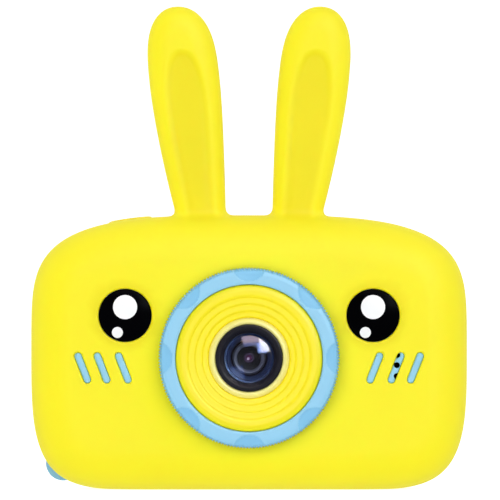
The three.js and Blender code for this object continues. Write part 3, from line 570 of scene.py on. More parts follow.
def rear_case(x, y, z):
    """The back half of the blue body: screen opening, button holes, socket bay and cord eyelet."""
    skin = body(x, y, z)
    shape = np.maximum(np.maximum(skin + CORE_SKIN, -(skin + CORE_INSIDE)), SPLIT_Y + 0.15 - y)
    for place in CASE_SCREWS:
        boss = np.maximum(rod_y(x, y, z, place, BOSS_RADIUS, low=9.8), skin + CORE_SKIN)
        shape = smooth_min(shape, boss, 0.6)
    for place in BOARD_SCREWS:
        shape = smooth_min(shape, rod_y(x, y, z, place, 1.9, 13.1, 18), 0.6)
    corner = np.maximum(rod_y(x, y, z, LUG, 6.4, 3, 17.5), skin + CORE_SKIN)
    shape = smooth_min(shape, corner, 0.8)
    shape = carve(shape, rod_y(x, y, z, LUG, 4.2, low=5), 0.8)
    eyelet = rod_y(x, y, z, EYELET, LUG_RADIUS, LUG[1] - LUG_HALF, LUG[1] + LUG_HALF)
    shape = smooth_min(shape, eyelet, 0.9)
    shape = carve(shape, rod_y(x, y, z, CORD_HOLE, 1.3, 5, 25), 0.7)
    shape = screen_and_key_holes(socket_bay(shape, skin, x, y, z), x, y, z)
    for place in CASE_SCREWS:
        shape = carve(shape, rod_y(x, y, z, place, SCREW_HEAD_HOLE, low=13.5), 0.4)
        shape = carve(shape, rod_y(x, y, z, place, SCREW_HOLE, low=8), 0.3)
    shape = carve(shape, rod_z(x, y, z, SHUTTER, 2.8, 50, 62), 0.4)
    return carve(shape, rod_z(x, y, z, POWER, 2.0, 50, 62), 0.4)


def hollowed(shape, x, y, z, node, room, x_range=None, y_range=None, corner=0.4, blend=0.3):
    """Carves the box of a CAD node out of a shape, with room on every side and ranges of its own."""
    low, high = span(node)
    low, high = low - room, high + room
    for axis, given in ((0, x_range), (1, y_range)):
        if given:
            low[axis] = given[0] if given[0] is not None else low[axis]
            high[axis] = given[1] if given[1] is not None else high[axis]
    return carve(shape, brick(x, y, z, low, high, corner), blend)


def socket_bay(shape, skin, x, y, z):
    """Adds the bay in the side wall, with a hole for the plug, one for the card and one for the strap."""
    bay = np.maximum(brick(x, y, z, (PORT_FLOOR[0], 5.1, 15.8), (50, 14.9, 44.7)), skin + CORE_SKIN)
    shape = smooth_min(shape, bay, 0.4)
    shape = carve(shape, brick(x, y, z, (PORT_FLOOR[1], 6.3, 17), (55, 13.7, 43.5), 0.8), 0.5)
    shape = hollowed(shape, x, y, z, "usb_socket", -0.1, x_range=(40, 44), corner=1.0)
    shape = hollowed(shape, x, y, z, "memory_card", 0.4, x_range=(40, 44))
    return hollowed(shape, x, y, z, "port_cover_strap", 0.3, x_range=(40, 48), corner=0.3, blend=0.4)


def screen_and_key_holes(shape, x, y, z):
    """Carves the screen's recess and view, the button holes and the two small holes of the back."""
    shape = hollowed(shape, x, y, z, "display_window", 0.3, y_range=(None, 30), corner=2.8, blend=0.4)
    mid = centre("display_window")
    low, high = (mid[0] - 20.7, 14, mid[2] - 15.6), (mid[0] + 20.7, 30, mid[2] + 15.6)
    shape = carve(shape, brick(x, y, z, low, high, 1.5), 0.4)
    for key in KEYS:
        shape = carve(shape, rod_y(x, y, z, centre(key + "_button"), KEY_HOLE, low=14), 0.3)
    menu = centre("menu_button")
    oblong = capsule_xz(x, z, (menu[0], menu[2]), 2.4, 2.45, math.pi / 2)
    shape = carve(shape, np.maximum(oblong, 14 - y), 0.6)
    shape = carve(shape, rod_y(x, y, z, centre("charge_led"), 1.15, low=14), 0.4)
    return carve(shape, rod_y(x, y, z, centre("microphone"), 0.6, low=14), 0.4)


def cheek_bars(side):
    """The blue bars that fill the slots of one cheek, with the sound holes on the +X side."""
    def field(x, y, z):
        shape = np.full(np.broadcast(x, y, z).shape, 50.0)
        for mark in CHEEK_X:
            bar = capsule_xz(side * x, z, (mark, CHEEK_Z), SLOT_HALF, SLOT_RADIUS - 0.04, CHEEK_TILT)
            front = body(x, y, z) + 0.3
            shape = np.minimum(shape, smooth_max(smooth_max(bar, front, 0.5), y + 9.2, 0.1))
        if side > 0:
            for height in SOUND_Z:
                lean = 0.03 * (height - SOUND_Z[1])
                shape = carve(shape, rod_y(x, y, z, (SOUND_X + lean, 0, height), SOUND_RADIUS), 0.25)
        return shape
    return field


# ---- materials

def srgb(red, green, blue):
    """The linear values that shaders take, from a colour in 0 to 255."""
    def linear(value):
        value /= 255
        return value / 12.92 if value <= 0.04045 else ((value + 0.055) / 1.055) ** 2.4
    return linear(red), linear(green), linear(blue)


def set_inputs(tree, node, inputs):
    """Sets a shader node's inputs, or links them where the value is another node's output."""
    for name, value in inputs.items():
        socket = node.inputs[name.replace("_", " ")]
        if isinstance(value, bpy.types.NodeSocket):
            tree.links.new(value, socket)
        else:
            socket.default_value = value


def add_node(tree, kind, **inputs):
    node = tree.nodes.new("ShaderNode" + kind)
    set_inputs(tree, node, inputs)
    return node


def finish(name, color, roughness, shade=0.04, patch=14.0, grain=0.25, relief=0.01, spread=0.05,
           **principled):
    """A moulded finish: the colour drifts a little over patches, and a fine grain varies gloss and relief.

    patch and grain are the sizes of the two patterns and relief the grain's height, in millimetres.
    """
    material = bpy.data.materials.new(name)
    material.use_nodes = True
    tree = material.node_tree
    place = add_node(tree, "TexCoord").outputs["Object"]
    drift, fine = (
        add_node(tree, "TexNoise", Vector=place, Scale=1 / (size * MM), Detail=detail).outputs["Fac"]
        for size, detail in ((patch, 2), (grain, 3))
    )
    tone = add_node(tree, "ValToRGB", Fac=drift)
    for stop, factor, position in zip(tone.color_ramp.elements, (1 - shade, 1 + shade), (0.3, 0.7)):
        stop.color = [min(channel * factor, 1) for channel in srgb(*color)] + [1]
        stop.position = position
    gloss = add_node(tree, "MapRange", Value=fine, To_Min=max(roughness - spread, 0),
                     To_Max=min(roughness + spread, 1))
    bump = add_node(tree, "Bump", Strength=1.0, Distance=relief * MM, Height=fine)
    set_inputs(tree, tree.nodes["Principled BSDF"], {
        "Base Color": tone.outputs["Color"], "Roughness": gloss.outputs["Result"],
        "Normal": bump.outputs["Normal"], **principled,
    })
    return material


SILICONE = finish(
    "silicone", (251, 238, 34), 0.58, shade=0.012, grain=0.35, relief=0.006,
    Subsurface_Weight=0.12, Subsurface_Scale=0.0015, Specular_IOR_Level=0.18,
)
YELLOW = finish("yellow_plastic", (251, 234, 30), 0.42, shade=0.012, grain=0.4, relief=0.003,
                Specular_IOR_Level=0.25)
PALE_YELLOW = finish("pale_yellow_plastic", (244, 236, 140), 0.3, shade=0.012, grain=0.4, relief=0.002)
BLUE = finish("blue_plastic", (146, 206, 238), 0.42, shade=0.015, grain=0.4, relief=0.004,
              Specular_IOR_Level=0.25)
# a darker copy of the ring's blue: painted shade on its teeth and in its scallops
SHADED_BLUE = finish("shaded_blue_plastic", (132, 196, 233), 0.5, shade=0.015, grain=0.4, relief=0.004,
                   Specular_IOR_Level=0.15)
BLUE_RUBBER = finish("blue_rubber", (142, 202, 234), 0.6, shade=0.02, grain=0.3, relief=0.006)
EYE_BLACK = finish("eye_black", (3, 3, 5), 0.22, shade=0.2, relief=0.001, spread=0.02,
                   Specular_IOR_Level=0.008)
PRINT_WHITE = finish("print_white", (250, 250, 250), 0.3, shade=0.01, relief=0.002)
PRINT_GREY = finish("print_grey", (96, 98, 104), 0.45, shade=0.03, relief=0.002)
LENS_BLACK = finish("lens_black", (22, 21, 30), 0.34, shade=0.15, relief=0.002, Specular_IOR_Level=0.22)
THROAT = finish("throat_blue", (25, 33, 58), 0.42, shade=0.1, relief=0.002,
                Specular_IOR_Level=0.75, Specular_Tint=(0.45, 0.65, 1.0, 1.0))
DULL_BLACK = finish("dull_black", (9, 9, 11), 0.65, shade=0.15, relief=0.006, Specular_IOR_Level=0.15)
RETAINER = finish("retainer_grey", (84, 86, 96), 0.45, shade=0.05, relief=0.002, Metallic=0.3)
SCREEN = finish("screen_black", (14, 15, 18), 0.08, shade=0.1, relief=0.0005, spread=0.02, Coat_Weight=0.5)
SCREEN_AREA = finish("screen_area", (29, 31, 37), 0.12, shade=0.08, relief=0.0005, spread=0.02)
LED = finish("led_white", (240, 240, 236), 0.3, shade=0.02, relief=0.001, Transmission_Weight=0.2)
BOARD = finish("circuit_board", (22, 92, 58), 0.4, shade=0.25, patch=1.6, grain=0.5, relief=0.015)
CHIP = finish("chip_black", (34, 34, 37), 0.55, shade=0.12, grain=0.15, relief=0.008)
STEEL = finish("steel", (196, 199, 203), 0.3, shade=0.05, patch=3, grain=0.2, relief=0.004, Metallic=1.0)
FOIL = finish("foil", (196, 198, 202), 0.38, shade=0.08, patch=4, grain=1.5, relief=0.06, Metallic=1.0)
RIBBON = finish("ribbon", (190, 122, 44), 0.4, shade=0.15, patch=1.2, relief=0.004)
WIRE_RED = finish("wire_red", (186, 38, 32), 0.5, shade=0.05, relief=0.004)
PLASTIC_BLACK = finish("black_plastic", (28, 28, 31), 0.5, shade=0.1, relief=0.008)
GOLD = finish("contact_gold", (222, 178, 96), 0.3, shade=0.06, relief=0.002, Metallic=1.0)


def glass(name, tint, film, clear=1.0, roughness=0.02):
    """Glass with a thin coating, whose thickness in nanometres colours its reflections."""
    return finish(name, tint, roughness, shade=0.01, relief=0.00001, spread=0.01,
                  Transmission_Weight=clear, IOR=2.0, Thin_Film_Thickness=film, Thin_Film_IOR=1.6)


PAPER = finish("studio_paper", (205, 205, 205), 0.9, shade=0.004, patch=60, grain=1.0, relief=0.01,
               Emission_Color=(1, 1, 1, 1), Emission_Strength=0.85)
FRONT_GLASS = glass("front_glass", (226, 232, 250), 95, roughness=0.07)
REAR_GLASS = glass("rear_glass", (120, 62, 98), 90, 0.4)
# a painted highlight on the middle of the rear lens element
PAINTED_GLINT = finish("pupil_painted_glint", (238, 214, 226), 0.3, shade=0.02, relief=0.001)
PUPIL_RING = finish("pupil_ring", (94, 80, 104), 0.4, shade=0.04, relief=0.001)


# ---- camera, lights and floor

def look_from_front():
    """A long lens, straight on. The frame is 108.7 mm wide a little in front of the body's middle."""
    lens_length, sensor, frame_width = 720.0, 36.0, 108.7
    distance = frame_width * lens_length / sensor
    data = bpy.data.cameras.new("camera")
    data.lens, data.sensor_width = lens_length, sensor
    data.clip_start, data.clip_end = 0.05, 20
    view = linked("camera", data)
    view.location = (0.2 * MM, (-8.0 - distance) * MM, 52.2 * MM)
    view.rotation_euler = (math.pi / 2, 0, 0)
    bpy.context.scene.camera = view


def softbox(name, place, size, power, lights, color=(1, 1, 1)):
    """A rectangular lamp aimed at the object, which lights only matt surfaces or only shows in gloss."""
    data = bpy.data.lights.new(name, "AREA")
    data.shape, data.size, data.size_y = "RECTANGLE", size[0], size[1]
    data.energy, data.color = power, color
    light = linked(name, data)
    light.location = place
    aim = Vector((0, 0, 0.05)) - Vector(place)
    light.rotation_euler = aim.to_track_quat("-Z", "Y").to_euler()
    light.visible_glossy = lights != "matt"
    light.visible_transmission = lights != "matt"
    light.visible_diffuse = lights != "gloss"


def paper_studio():
    """A pale round floor that curves up into a backdrop. It is bright, and lights nothing but the view."""
    far, bend, sides = 3.7, 0.8, 96
    profile = [(1e-4, 0)]
    for angle in np.linspace(0, math.pi / 2, 16):
        profile.append((far - bend + bend * math.sin(angle), bend * (1 - math.cos(angle))))
    profile.append((far, 4.5))
    vertices = []
    for side in range(sides):
        angle = 2 * math.pi * side / sides
        vertices += [(r * math.cos(angle), r * math.sin(angle), h) for r, h in profile]
    mesh = bpy.data.meshes.new("floor")
    mesh.from_pydata(vertices, [], band_faces(sides, len(profile), False, True))
    mesh.shade_smooth()
    mesh.materials.append(PAPER)
    made = linked("floor", mesh)
    for ray in ("glossy", "transmission", "shadow", "diffuse"):
        setattr(made, "visible_" + ray, False)


def sky():
    """A soft sky: dim in front, so gloss facing the camera stays dark, and brighter all round the sides."""
    world = bpy.data.worlds.new("studio")
    world.use_nodes = True
    tree = world.node_tree
    direction = add_node(tree, "TexCoord").outputs["Generated"]
    side = add_node(tree, "SeparateXYZ", Vector=direction).outputs["Y"]
    rise = add_node(tree, "MapRange", Value=side, From_Min=-0.75, From_Max=-0.1, To_Min=0.06, To_Max=1.02)
    rise.interpolation_type = "SMOOTHSTEP"
    glow = {"Color": (1, 1, 1, 1), "Strength": rise.outputs["Result"]}
    set_inputs(tree, tree.nodes["Background"], glow)
    bpy.context.scene.world = world


def light_scene():
    sky()
    softbox("key", (0.1, -2.3, 0.2), (2.2, 1.6), 38, "matt")
    softbox("fill", (-0.4, -2.1, 0.0), (1.4, 1.0), 10, "matt")
    softbox("haze", (0.3, -1.25, 1.3), (1.6, 1.0), 25, "gloss", (1.0, 0.84, 0.86))
    softbox("underglow", (-0.75, -1.3, -0.95), (0.9, 0.9), 5, "gloss", (0.4, 0.6, 1.0))
    softbox("rear", (0.5, 1.9, 1.2), (1.0, 0.8), 5, "matt")
    softbox("catchlight", (0.97, -1.46, 0.78), (0.8, 0.8), 32, "gloss", (0.92, 1.0, 0.98))
    bpy.context.scene.view_settings.view_transform = "Standard"


look_from_front()
light_scene()
paper_studio()


# ---- sleeve and shells

def moulded_sleeve():
    """The sleeve, with a tone attribute for painted shade: its colour is darkened in the ears' hollows and
    close round the eyes.
    """
    mesh = surface(sleeve, SLEEVE_LOW - 1.5, SLEEVE_HIGH + 1.5, 0.4, keep=0.4)
    x, y, z = places_of(mesh).T / MM
    facing = (y < EAR_Y).astype(float)
    # painted shade, strongest in the ears' hollows and at the rims of the eyes' holes, fading within 2.6 mm
    # of them
    tone = facing * np.maximum(hollow_share(x, z), 0.95 * (1 - ramp(round_eye(x, z), 0.0, 2.6)))
    mesh.attributes.new("tone", "FLOAT", "POINT").data.foreach_set("value", tone.astype(np.float32))
    return mesh


def paint_shade(material, color):
    """Mixes another colour into a finish where the mesh's tone attribute says so, painting shade there."""
    tree = material.node_tree
    base = tree.nodes["Principled BSDF"].inputs["Base Color"]
    tone = add_node(tree, "Attribute")
    tone.attribute_name = "tone"
    mix = add_node(tree, "Mix")
    mix.data_type, mix.blend_type = "RGBA", "MULTIPLY"
    set_inputs(tree, mix, {"Factor": tone.outputs["Fac"], "A": base.links[0].from_socket, "B": color})
    tree.links.new(mix.outputs["Result"], base)


# painted shade: the sleeve's yellow is darkened where its tone attribute is high
paint_shade(SILICONE, (0.9, 0.87, 0.3, 1))
piece("sleeve", moulded_sleeve(), SILICONE, replaces=["silicone_sleeve"])
halves = ("front", front_case, -19.5, 10.5, 0.45), ("rear", rear_case, SPLIT_Y - 1, 20.5, 0.35)
for name, field, low_y, high_y, voxel in halves:
    mesh = surface(field, (-47, low_y, 0.5), (47, high_y, 59), voxel, keep=0.3)
    piece(name + "_case", mesh, BLUE, replaces=[name + "_shell"])
for side, label in ((-1, "right"), (1, "left")):
    x_range = sorted((side * 24, side * 40))
    mesh = surface(cheek_bars(side), (x_range[0], -13.6, 21.5), (x_range[1], -8.4, 31.5), 0.14, keep=0.5)
    piece(f"{label}_cheek_bars", mesh, BLUE)


# ---- eyes

def eye_height(radius):
    """How far the eye's dome stands in front of its rim's plane, at a radius."""
    return EYE_RISE * (1 - (radius / EYE_RADIUS) ** 2)


def highlight(eye, across, up, radius):
    """A printed white disc that follows the eye's dome, with its middle beside and above the eye's."""
    def follow(angle, r, y):
        return r, y - eye_height(np.hypot(across + r * np.sin(angle), up + r * np.cos(angle)))
    radii = np.linspace(0, radius, 9)
    profile = [(r, -0.015) for r in radii] + [(r, 0.05) for r in radii[::-1]]
    return lathe(profile, eye + (across, 0, up), 48, shape=follow, crease=40)


for side, label in ((1, "left"), (-1, "right")):
    eye = np.array([side * LEFT_EYE[0], EYE_RIM_Y, LEFT_EYE[2]])
    brim = EYE_HOLE - 0.03
    crown = [(r, -eye_height(r)) for r in np.linspace(0, brim - 0.35, 14)]
    foot = [(brim - 0.05, 0.05), (brim, 1.5), (1.5, 1.6), (1.5, 5), (0, 5)]
    profile = crown + eased([crown[-1]] + foot, 0.3)[1:]
    piece(f"{label}_eye_disc", lathe(profile, eye), EYE_BLACK, replaces=[f"{label}_eye"])
    piece(f"{label}_eye_glint", highlight(eye, 0.0, 1.82, 2.62), PRINT_WHITE)
    piece(f"{label}_eye_spark", highlight(eye, -1.67, -3.7, 1.2), PRINT_WHITE)


# ---- lens ring, dish and lens

SERRATIONS = 180
SCALLOPS = 8


def scallop_depth(angle, radius):
    """How deep the eight scallops cut into the ring's front, from 0 to 1."""
    turn = (angle * SCALLOPS / (2 * math.pi) + 0.5) % 1 - 0.5
    across = turn * 2 * math.pi / SCALLOPS * 18.6 / 3.4
    reach = (19.75 - radius) / 3.1
    return np.clip(1 - across**2 - reach**2, 0, 1) ** 0.35


def ring_shape(angle, radius, y):
    """Fine teeth round the rim, and shallow scallops cut into its front edge."""
    toothed = ramp(radius, 18.85, 19.25) * ramp(y, RING_FRONT + 0.15, RING_FRONT + 0.9)
    teeth = 0.36 * np.abs(np.sin(angle * SERRATIONS / 2)) ** 0.8
    front = 1 - ramp(y, RING_FRONT + 1.5, RING_FRONT + 4)
    return radius - teeth * toothed, y + 0.7 * scallop_depth(angle, radius) * front


def painted(mesh, materials, choose):
    """The mesh with materials chosen for each face by the place of its middle from the lens's axis."""
    for material in materials:
        mesh.materials.append(material)
    for face in mesh.polygons:
        face.material_index = int(choose(*(np.array(face.center) / MM - AXIS)))
    return mesh


def ring_shaded_part(x, y, z):
    """1 on the ring's teeth and in its scallops, which get painted shade."""
    cut = scallop_depth(math.atan2(x, z) % (2 * math.pi), math.hypot(x, z))
    return math.hypot(x, z) > 18.95 or (cut > 0 and y < RING_FRONT + 1.6)


def lens_ring():
    front = RING_FRONT
    corners = [(17.7, -12.9), (17.7, -18.6), (15.95, -18.6), (15.95, front + 0.25), (16.35, front),
               (18.3, front + 0.1), (19.1, front + 0.55), (19.6, front + 1.3), (19.7, -12.9)]
    profile = eased(corners, 0.35, 3, closed=True)
    dense = []
    for a, b in zip(profile, profile[1:] + profile[:1]):
        steps = max(1, int(np.linalg.norm(b - a) / 0.3)) if min(a[1], b[1]) < -20 else 1
        dense += [a + (b - a) * k / steps for k in range(steps)]
    mesh = lathe(dense, AXIS, SERRATIONS * 4, True, ring_shape, crease=50)
    # the teeth and scallops get the darker blue as painted shade
    return painted(mesh, (BLUE, SHADED_BLUE), ring_shaded_part)


def lens_dish():
    """Swells outwards, then steps down in three terraces to the foot of the collar."""
    corners = [(15.9, -13), (15.9, -19.7), (15.6, -20.15), (14.6, -20.5), (13.7, -20.45), (13.3, -20.25),
               (13.1, -19.9), (11.95, -19.9), (11.75, -19.75), (11.55, -19.4), (10.4, -19.4), (10.2, -19.25),
               (10.0, -18.85), (9.05, -18.8), (8.85, -18.6), (8.7, -18.2), (7.7, -18.2), (7.7, -16.6),
               (14.7, -17.2), (14.7, -13)]
    return lathe(eased(corners, 0.25, 4, closed=True), AXIS, 256, True)


def lens_collar():
    corners = [(8.75, -17.95), (8.7, -18.8), (7.9, -19.5), (7.3, -19.0), (7.3, -17.35), (7.65, -17.2),
               (8.6, -17.9)]
    return lathe(eased(corners, 0.45, 6, closed=True), AXIS, 192, True)


def dome(radius, tip, rim):
    """Points of a lens face from the axis to its rim."""
    return [(radius * s, tip + (rim - tip) * s * s) for s in np.linspace(0, 1, 14)]


def barrel_part(x, y, z):
    """1 inside the throat."""
    return 3.72 < math.hypot(x, z) < 5.42 and -18.3 < y < -11


def pupil_part(x, y, z):
    """A coated element with a painted highlight a little below the middle, inside its dark rim."""
    radius = math.hypot(x, z)
    if y >= -12:
        return 0
    if radius > 0.56:
        return 2 if 0.69 < radius < 0.88 else 3
    return math.hypot(x + 0.16, z + 0.18) < 0.24


piece("knurled_ring", lens_ring(), BLUE, replaces=["lens_ring"])
piece("terraced_dish", lens_dish(), YELLOW, replaces=["lens_dish"])
piece("lens_collar", lens_collar(), PALE_YELLOW)

barrel = [(7.27, -17.3), (7.27, -19.0), (7.1, -19.25), (6.3, -19.25), (6.05, -18.9), (5.45, -18.1),
          (5.4, -16.8), (4.75, -16.7)]
for step in range(9):  # light-trapping steps down the throat
    y = -16.2 + 0.5 * step
    barrel += [(4.5 - 0.09 * step, y), (4.25 - 0.09 * step, y + 0.15)]
barrel += [(3.75, -11.5), (3.7, -9), (2.8, -9), (2.8, -1), (6, -1), (6, -15.6), (7.0, -15.6), (7.0, -17.1)]
barrel_mesh = lathe(eased(barrel, 0.12, 2, True), AXIS, 128, True)
piece("barrel", painted(barrel_mesh, (LENS_BLACK, THROAT), barrel_part), LENS_BLACK,
      replaces=["lens_barrel"])
front_profile = dome(5.3, -19.1, -17.7) + dome(5.3, -18.4, -17.1)[::-1]
window = piece("front_glass", lathe(front_profile, AXIS, crease=50), FRONT_GLASS,
               replaces=["front_lens"])
window.visible_shadow = False  # clear glass lets the light through to the rings behind it
retainer = eased([(2.42, -13.5), (3.0, -13.9), (3.25, -13.7), (3.3, -12.9), (2.42, -12.9)], 0.12, 2, True)
piece("retainer", lathe(retainer, AXIS, closed=True), RETAINER, replaces=["lens_retainer"])
iris = eased([(0.94, -12.4), (2.4, -12.75), (3.55, -12.6), (3.55, -12.1), (1.0, -12.1)], 0.08, 2, True)
piece("iris", lathe(iris, AXIS, closed=True), DULL_BLACK, replaces=["iris_plate"])
rear_profile = dome(0.9, -12.45, -12.05) + dome(3.3, -11.95, -10.8)[5:] + dome(3.3, -9.4, -9.8)[::-1]
rear_mesh = lathe(rear_profile, AXIS, crease=50)
# the middle of the rear element gets a painted highlight
rear_mesh = painted(rear_mesh, (REAR_GLASS, PAINTED_GLINT, PUPIL_RING, DULL_BLACK), pupil_part)
piece("rear_glass", rear_mesh, REAR_GLASS, replaces=["rear_lens"])


# ---- top buttons

def top_cap(place, radius, proud, thickness, stem, flange):
    """A button whose cap follows the body's top, on a stem with a flange and a pin."""
    def field(x, y, z):
        skin = body(x, y, z)
        cap = np.maximum(np.hypot(x - place[0], y - place[1]) - radius, 50 - z)
        cap = smooth_max(cap, skin - proud, 1.1)
        cap = smooth_max(cap, -(skin - proud + thickness), 0.3)
        shape = smooth_min(cap, rod_z(x, y, z, place, stem, 52.9, 57.8), 0.3)
        shape = smooth_min(shape, rod_z(x, y, z, place, flange, 52.9, 53.6), 0.3)
        return smooth_min(shape, rod_z(x, y, z, place, 1.0, 51.2, 53.2), 0.3)
    return field


for name, size in (("shutter", (5.0, 0.35, 1.35, 2.4, 3.8)), ("power", (3.4, -0.3, 0.9, 1.6, 2.8))):
    low, high = span(name + "_button")
    mesh = surface(top_cap((low + high) / 2, *size), low - 0.8, high + 0.8, 0.16, keep=0.5)
    piece(name + "_cap", mesh, YELLOW, name + "_button", [name + "_button"])


# ---- the back: screen, keys, light and microphone

def key_mark(name):
    """Outlines of a plain printed sign: an arrow for a direction, a dot for ok, three bars for menu."""
    arrow = np.array([(0, 1.15), (-1.05, -0.65), (1.05, -0.65)])
    turns = {"up": 0, "left": -90, "down": 180, "right": 90}  # seen from behind, +X lies to the left
    if name in turns:
        a = math.radians(turns[name])
        turn = np.array([[math.cos(a), -math.sin(a)], [math.sin(a), math.cos(a)]])
        return [np.array(eased(arrow @ turn.T, 0.3, 3, True))]
    if name == "ok":
        return [rounded_rectangle(1.9, 1.9, 0.94)]
    return [rounded_rectangle(3.4, 0.5, 0.24) + (0, shift) for shift in (-0.95, 0, 0.95)]


KEY_TOP = span("ok_button")[1][1]
key_profile = eased(
    [(0, 14.9), (0.9, 14.9), (0.9, 15.9), (3.8, 15.9), (3.8, 16.8), (3.4, 16.8), (3.4, KEY_TOP - 0.35),
     (3.0, KEY_TOP), (2.3, KEY_TOP - 0.12), (0, KEY_TOP - 0.2)], 0.25, 4
)
for name in KEYS:
    button = name + "_button"
    piece(name + "_key", lathe(key_profile, axis_of(button)), YELLOW, button, [button])

menu_axis = axis_of("menu_button")
menu_parts = [
    slab(rounded_rectangle(9, 4.2, 2.05, 10), 16.7, KEY_TOP, 0.4, menu_axis),
    slab(rounded_rectangle(10.4, 5.6, 2.7, 10), 15.9, 16.8, 0.15, menu_axis),
    lathe([(0, 14.9), (0.9, 14.9), (0.9, 16.0), (0, 16.0)], menu_axis, 32),
]


def joined(meshes):
    """Several meshes as one, kept as separate closed bodies."""
    work = bmesh.new()
    for mesh in meshes:
        work.from_mesh(mesh)
    made = bpy.data.meshes.new("shape")
    work.to_mesh(made)
    work.free()
    return made


piece("menu_key", joined(menu_parts), YELLOW, "menu_button", ["menu_button"])
for name in KEYS + ("menu",):
    button = name + "_button"
    top = KEY_TOP - (0.0 if name == "menu" else 0.2)
    signs = [slab(points, top - 0.1, top + 0.06, 0.03, axis_of(button)) for points in key_mark(name)]
    piece(name + "_sign", joined(signs), PRINT_GREY, button)

window_low, window_high = span("display_window")
width, _, height = window_high - window_low
window_axis = axis_of("display_window")
plate = slab(rounded_rectangle(width, height, 2.7, 12), window_low[1], window_high[1], 0.22, window_axis)
piece("screen_window", plate, SCREEN, replaces=["display_window"])
area_face = window_high[1] + 0.015  # the lit area shows as a fainter black through the glass
area = slab(rounded_rectangle(40.8, 30.6, 0.5, 4), area_face - 0.1, area_face, 0.01, window_axis)
piece("screen_area", area, SCREEN_AREA)
led_front, led_rear = span("charge_led")[0][1], span("charge_led")[1][1]
pipe = eased([(0, led_front), (0.9, led_front), (0.9, led_rear - 0.3), (0, led_rear)], 0.3)
piece("light_pipe", lathe(pipe, axis_of("charge_led"), 48), LED, replaces=["charge_led"])


# ---- side: port cover, sockets, card

def port_cover(x, y, z):
    """The rubber flap with its plug and a thumb notch."""
    low, high = span("port_cover")
    skin = body(x, y, z)
    panel = brick(x, y, z, (40, low[1], low[2]), (52, high[1], high[2]), 2.1)
    panel = smooth_max(smooth_max(panel, skin + 0.2, 0.5), -(skin + 1.75), 0.3)
    plug = brick(x, y, z, (43.6, 8.7, USB[2] - 3.2), (46.2, 11.1, USB[2] + 3.2), 0.8)
    shape = smooth_min(panel, plug, 0.4)
    notch = np.sqrt((x - 49.3) ** 2 + (y - 10) ** 2 * 0.45 + (z - high[2] + 2.2) ** 2) - 2.9
    return carve(shape, notch, 0.5)


cover_low, cover_high = span("port_cover")
piece("port_flap", surface(port_cover, cover_low - 0.8, cover_high + 0.8, 0.18, keep=0.4),
      BLUE_RUBBER, "port_cover", ["port_cover"])


def strap():
    """The flap's living hinge: a strip that bends from the body up into the flap's lower edge."""
    path = eased([(42.4, 13.75), (46.35, 13.75), (46.35, 16.6)], 1.6, 10)
    low, high = span("port_cover_strap")
    first, last = path[1] - path[0], path[-1] - path[-2]
    points = [path[0] + first * k / 6 for k in range(6)] + path[1:-1]
    points = np.array(points + [path[-2] + last * k / 6 for k in range(1, 7)])
    along = np.gradient(points, axis=0)
    along /= np.linalg.norm(along, axis=1, keepdims=True)
    section = rounded_rectangle(high[1] - low[1] - 0.4, 0.84, 0.3, 3)
    vertices = []
    for (px, pz), (ax, az) in zip(points, along):
        for u, v in section:
            vertices.append((px - az * v, 10 + u, pz + ax * v))
    mesh = make_mesh(vertices, capped(len(points), len(section)), 40)
    made = piece("flap_strap", mesh, BLUE_RUBBER, None, ["port_cover_strap"])
    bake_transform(made)


strap()


def socket_shell(x, y, z):
    """The metal shell of the charging socket, open towards +X."""
    low, high = span("usb_socket")
    opening = (high[0] - 4.4, 50)
    outer = brick(x, y, z, low, high, 1.0)
    return hollowed(outer, x, y, z, "usb_socket", -0.35, opening, corner=0.8, blend=0.15)


usb_low, usb_high = span("usb_socket")
piece("charge_socket", surface(socket_shell, usb_low - 0.6, usb_high + 0.6, 0.14, keep=0.5),
      STEEL, replaces=["usb_socket"])
tongue = slab(rounded_rectangle(0.7, 4.6, 0.2, 3), usb_high[0] - 4.3, usb_high[0] - 0.8, 0.12,
              (0, USB[1], USB[2]), axis="x")
piece("socket_tongue", tongue, PLASTIC_BLACK)

card_low, card_high = span("memory_card")
left, right, bottom, top = card_low[0], card_high[0], card_low[2], card_high[2]
corners = [(left, bottom), (right, bottom), (right, top), (left + 2, top), (left, top - 2)]
piece("card_body", slab(np.array(eased(corners, 0.5, 4, True)), card_low[1], card_high[1], 0.1, (0, 0, 0)),
      PLASTIC_BLACK, "memory_card", ["memory_card"])
ridge = slab(rounded_rectangle(0.9, 9, 0.3, 4), card_high[1] - 0.05, card_high[1] + 0.22, 0.1,
             (right - 0.9, 0, (bottom + top) / 2))
piece("card_ridge", ridge, PLASTIC_BLACK, "memory_card")
pads = [slab(rounded_rectangle(2.6, 0.8, 0.1, 2), card_low[1] - 0.03, card_low[1] + 0.03, 0.01,
             (left + 2.2, 0, bottom + 1.1 + 1.1 * k)) for k in range(8)]
piece("card_contacts", joined(pads), GOLD, "memory_card")


# ---- screws and other turned pieces inside

def cross_recess(head_radius, top, depth):
    """A shape for lathe() that sinks a cross into a screw's head, which faces +Y."""
    def shape(angle, radius, y):
        share = radius / head_radius
        arms = np.minimum(np.abs(np.sin(angle)), np.abs(np.cos(angle))) * share
        sunk = (1 - ramp(arms, 0.12, 0.24)) * (1 - ramp(share, 0.55, 0.66))
        return radius, y - depth * sunk * ramp(y, top - 0.45, top - 0.25)
    return shape


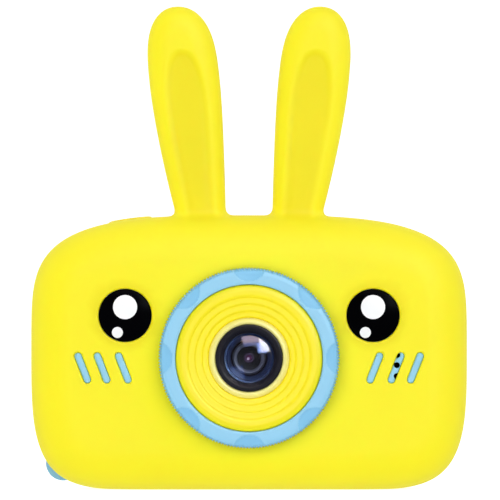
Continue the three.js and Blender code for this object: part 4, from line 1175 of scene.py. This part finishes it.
def screw(node, head, head_height, shank, faces_back=True):
    """A pan-head screw in the place of a CAD screw, with a thread and a cross recess."""
    low, high = span(node)
    length = high[1] - low[1] - head_height
    profile = [(0, -length), (shank * 0.4, -length)]
    turns = int(length / 0.5)
    for turn in range(turns):
        y = -length + 0.35 + turn * (length - 0.6) / turns
        profile += [(shank * 0.78, y), (shank, y + 0.17), (shank * 0.78, y + 0.34)]
    profile += [(shank * 0.9, -0.05), (head, 0), (head, head_height * 0.4), (head * 0.86, head_height * 0.8)]
    profile += [(head * share, head_height * (1 - 0.2 * share**2)) for share in np.linspace(0.75, 0, 12)]
    mesh = lathe(profile, (0, 0, 0), 64, shape=cross_recess(head, head_height, 0.5 * head_height))
    seat = high[1] - head_height if faces_back else low[1] + head_height
    flip = 1 if faces_back else -1
    place = Vector(axis_of(node)) + Vector((0, seat, 0))
    for vertex in mesh.vertices:
        x, y, z = vertex.co
        vertex.co = Vector((x, flip * y, flip * z)) + place * MM
    piece(node + "_turned", mesh, STEEL, replaces=[node])


for i in range(1, 5):
    screw(f"case_screw_{i}", 1.9, 1.4, 1.0)
for i in range(1, 4):
    screw(f"board_screw_{i}", 1.4, 1.2, 0.8, faces_back=False)
for i in range(1, 3):
    screw(f"sensor_screw_{i}", 1.4, 1.0, 0.6)

front, rear = span("speaker")[0][1], span("speaker")[1][1]
cone = [(0, front + 0.5), (1.6, front + 0.65), (2.2, front + 1.1), (2.6, front + 1.25), (5.0, front + 0.7),
        (5.5, front + 0.45), (6.0, front + 0.7), (6.2, front + 0.1), (7, front + 0.05), (7, rear - 1.5),
        (4.5, rear - 1.2), (4.5, rear), (0, rear)]
piece("speaker_unit", lathe(eased(cone, 0.2), axis_of("speaker")), DULL_BLACK,
      replaces=["speaker"])
front, rear = span("microphone")[0][1], span("microphone")[1][1]
can = eased([(0, front), (2, front), (2, rear), (0.5, rear), (0.4, rear - 0.4), (0, rear - 0.4)], 0.15)
piece("microphone_can", lathe(can, axis_of("microphone"), 64), STEEL, replaces=["microphone"])


# ---- the CAD pieces that stay

KEPT = {
    "lens_holder": PLASTIC_BLACK, "image_sensor": CHIP, "sensor_board": BOARD, "sensor_ribbon": RIBBON,
    "main_board": BOARD, "processor_chip": CHIP, "flash_chip": CHIP, "battery": FOIL,
    "battery_lead": WIRE_RED,
    "speaker_lead": PLASTIC_BLACK, "card_socket": STEEL, "display_panel": STEEL, "display_ribbon": RIBBON,
    "button_board": BOARD,
}
for name in KEYS + ("menu", "shutter", "power"):
    KEPT[name + "_switch"] = PLASTIC_BLACK
for name, material in KEPT.items():
    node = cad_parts[name]
    node.data.materials.clear()
    node.data.materials.append(material)
    bevel = node.modifiers.new("edges", "BEVEL")
    bevel.width, bevel.segments, bevel.limit_method = 0.12 * MM, 2, "ANGLE"
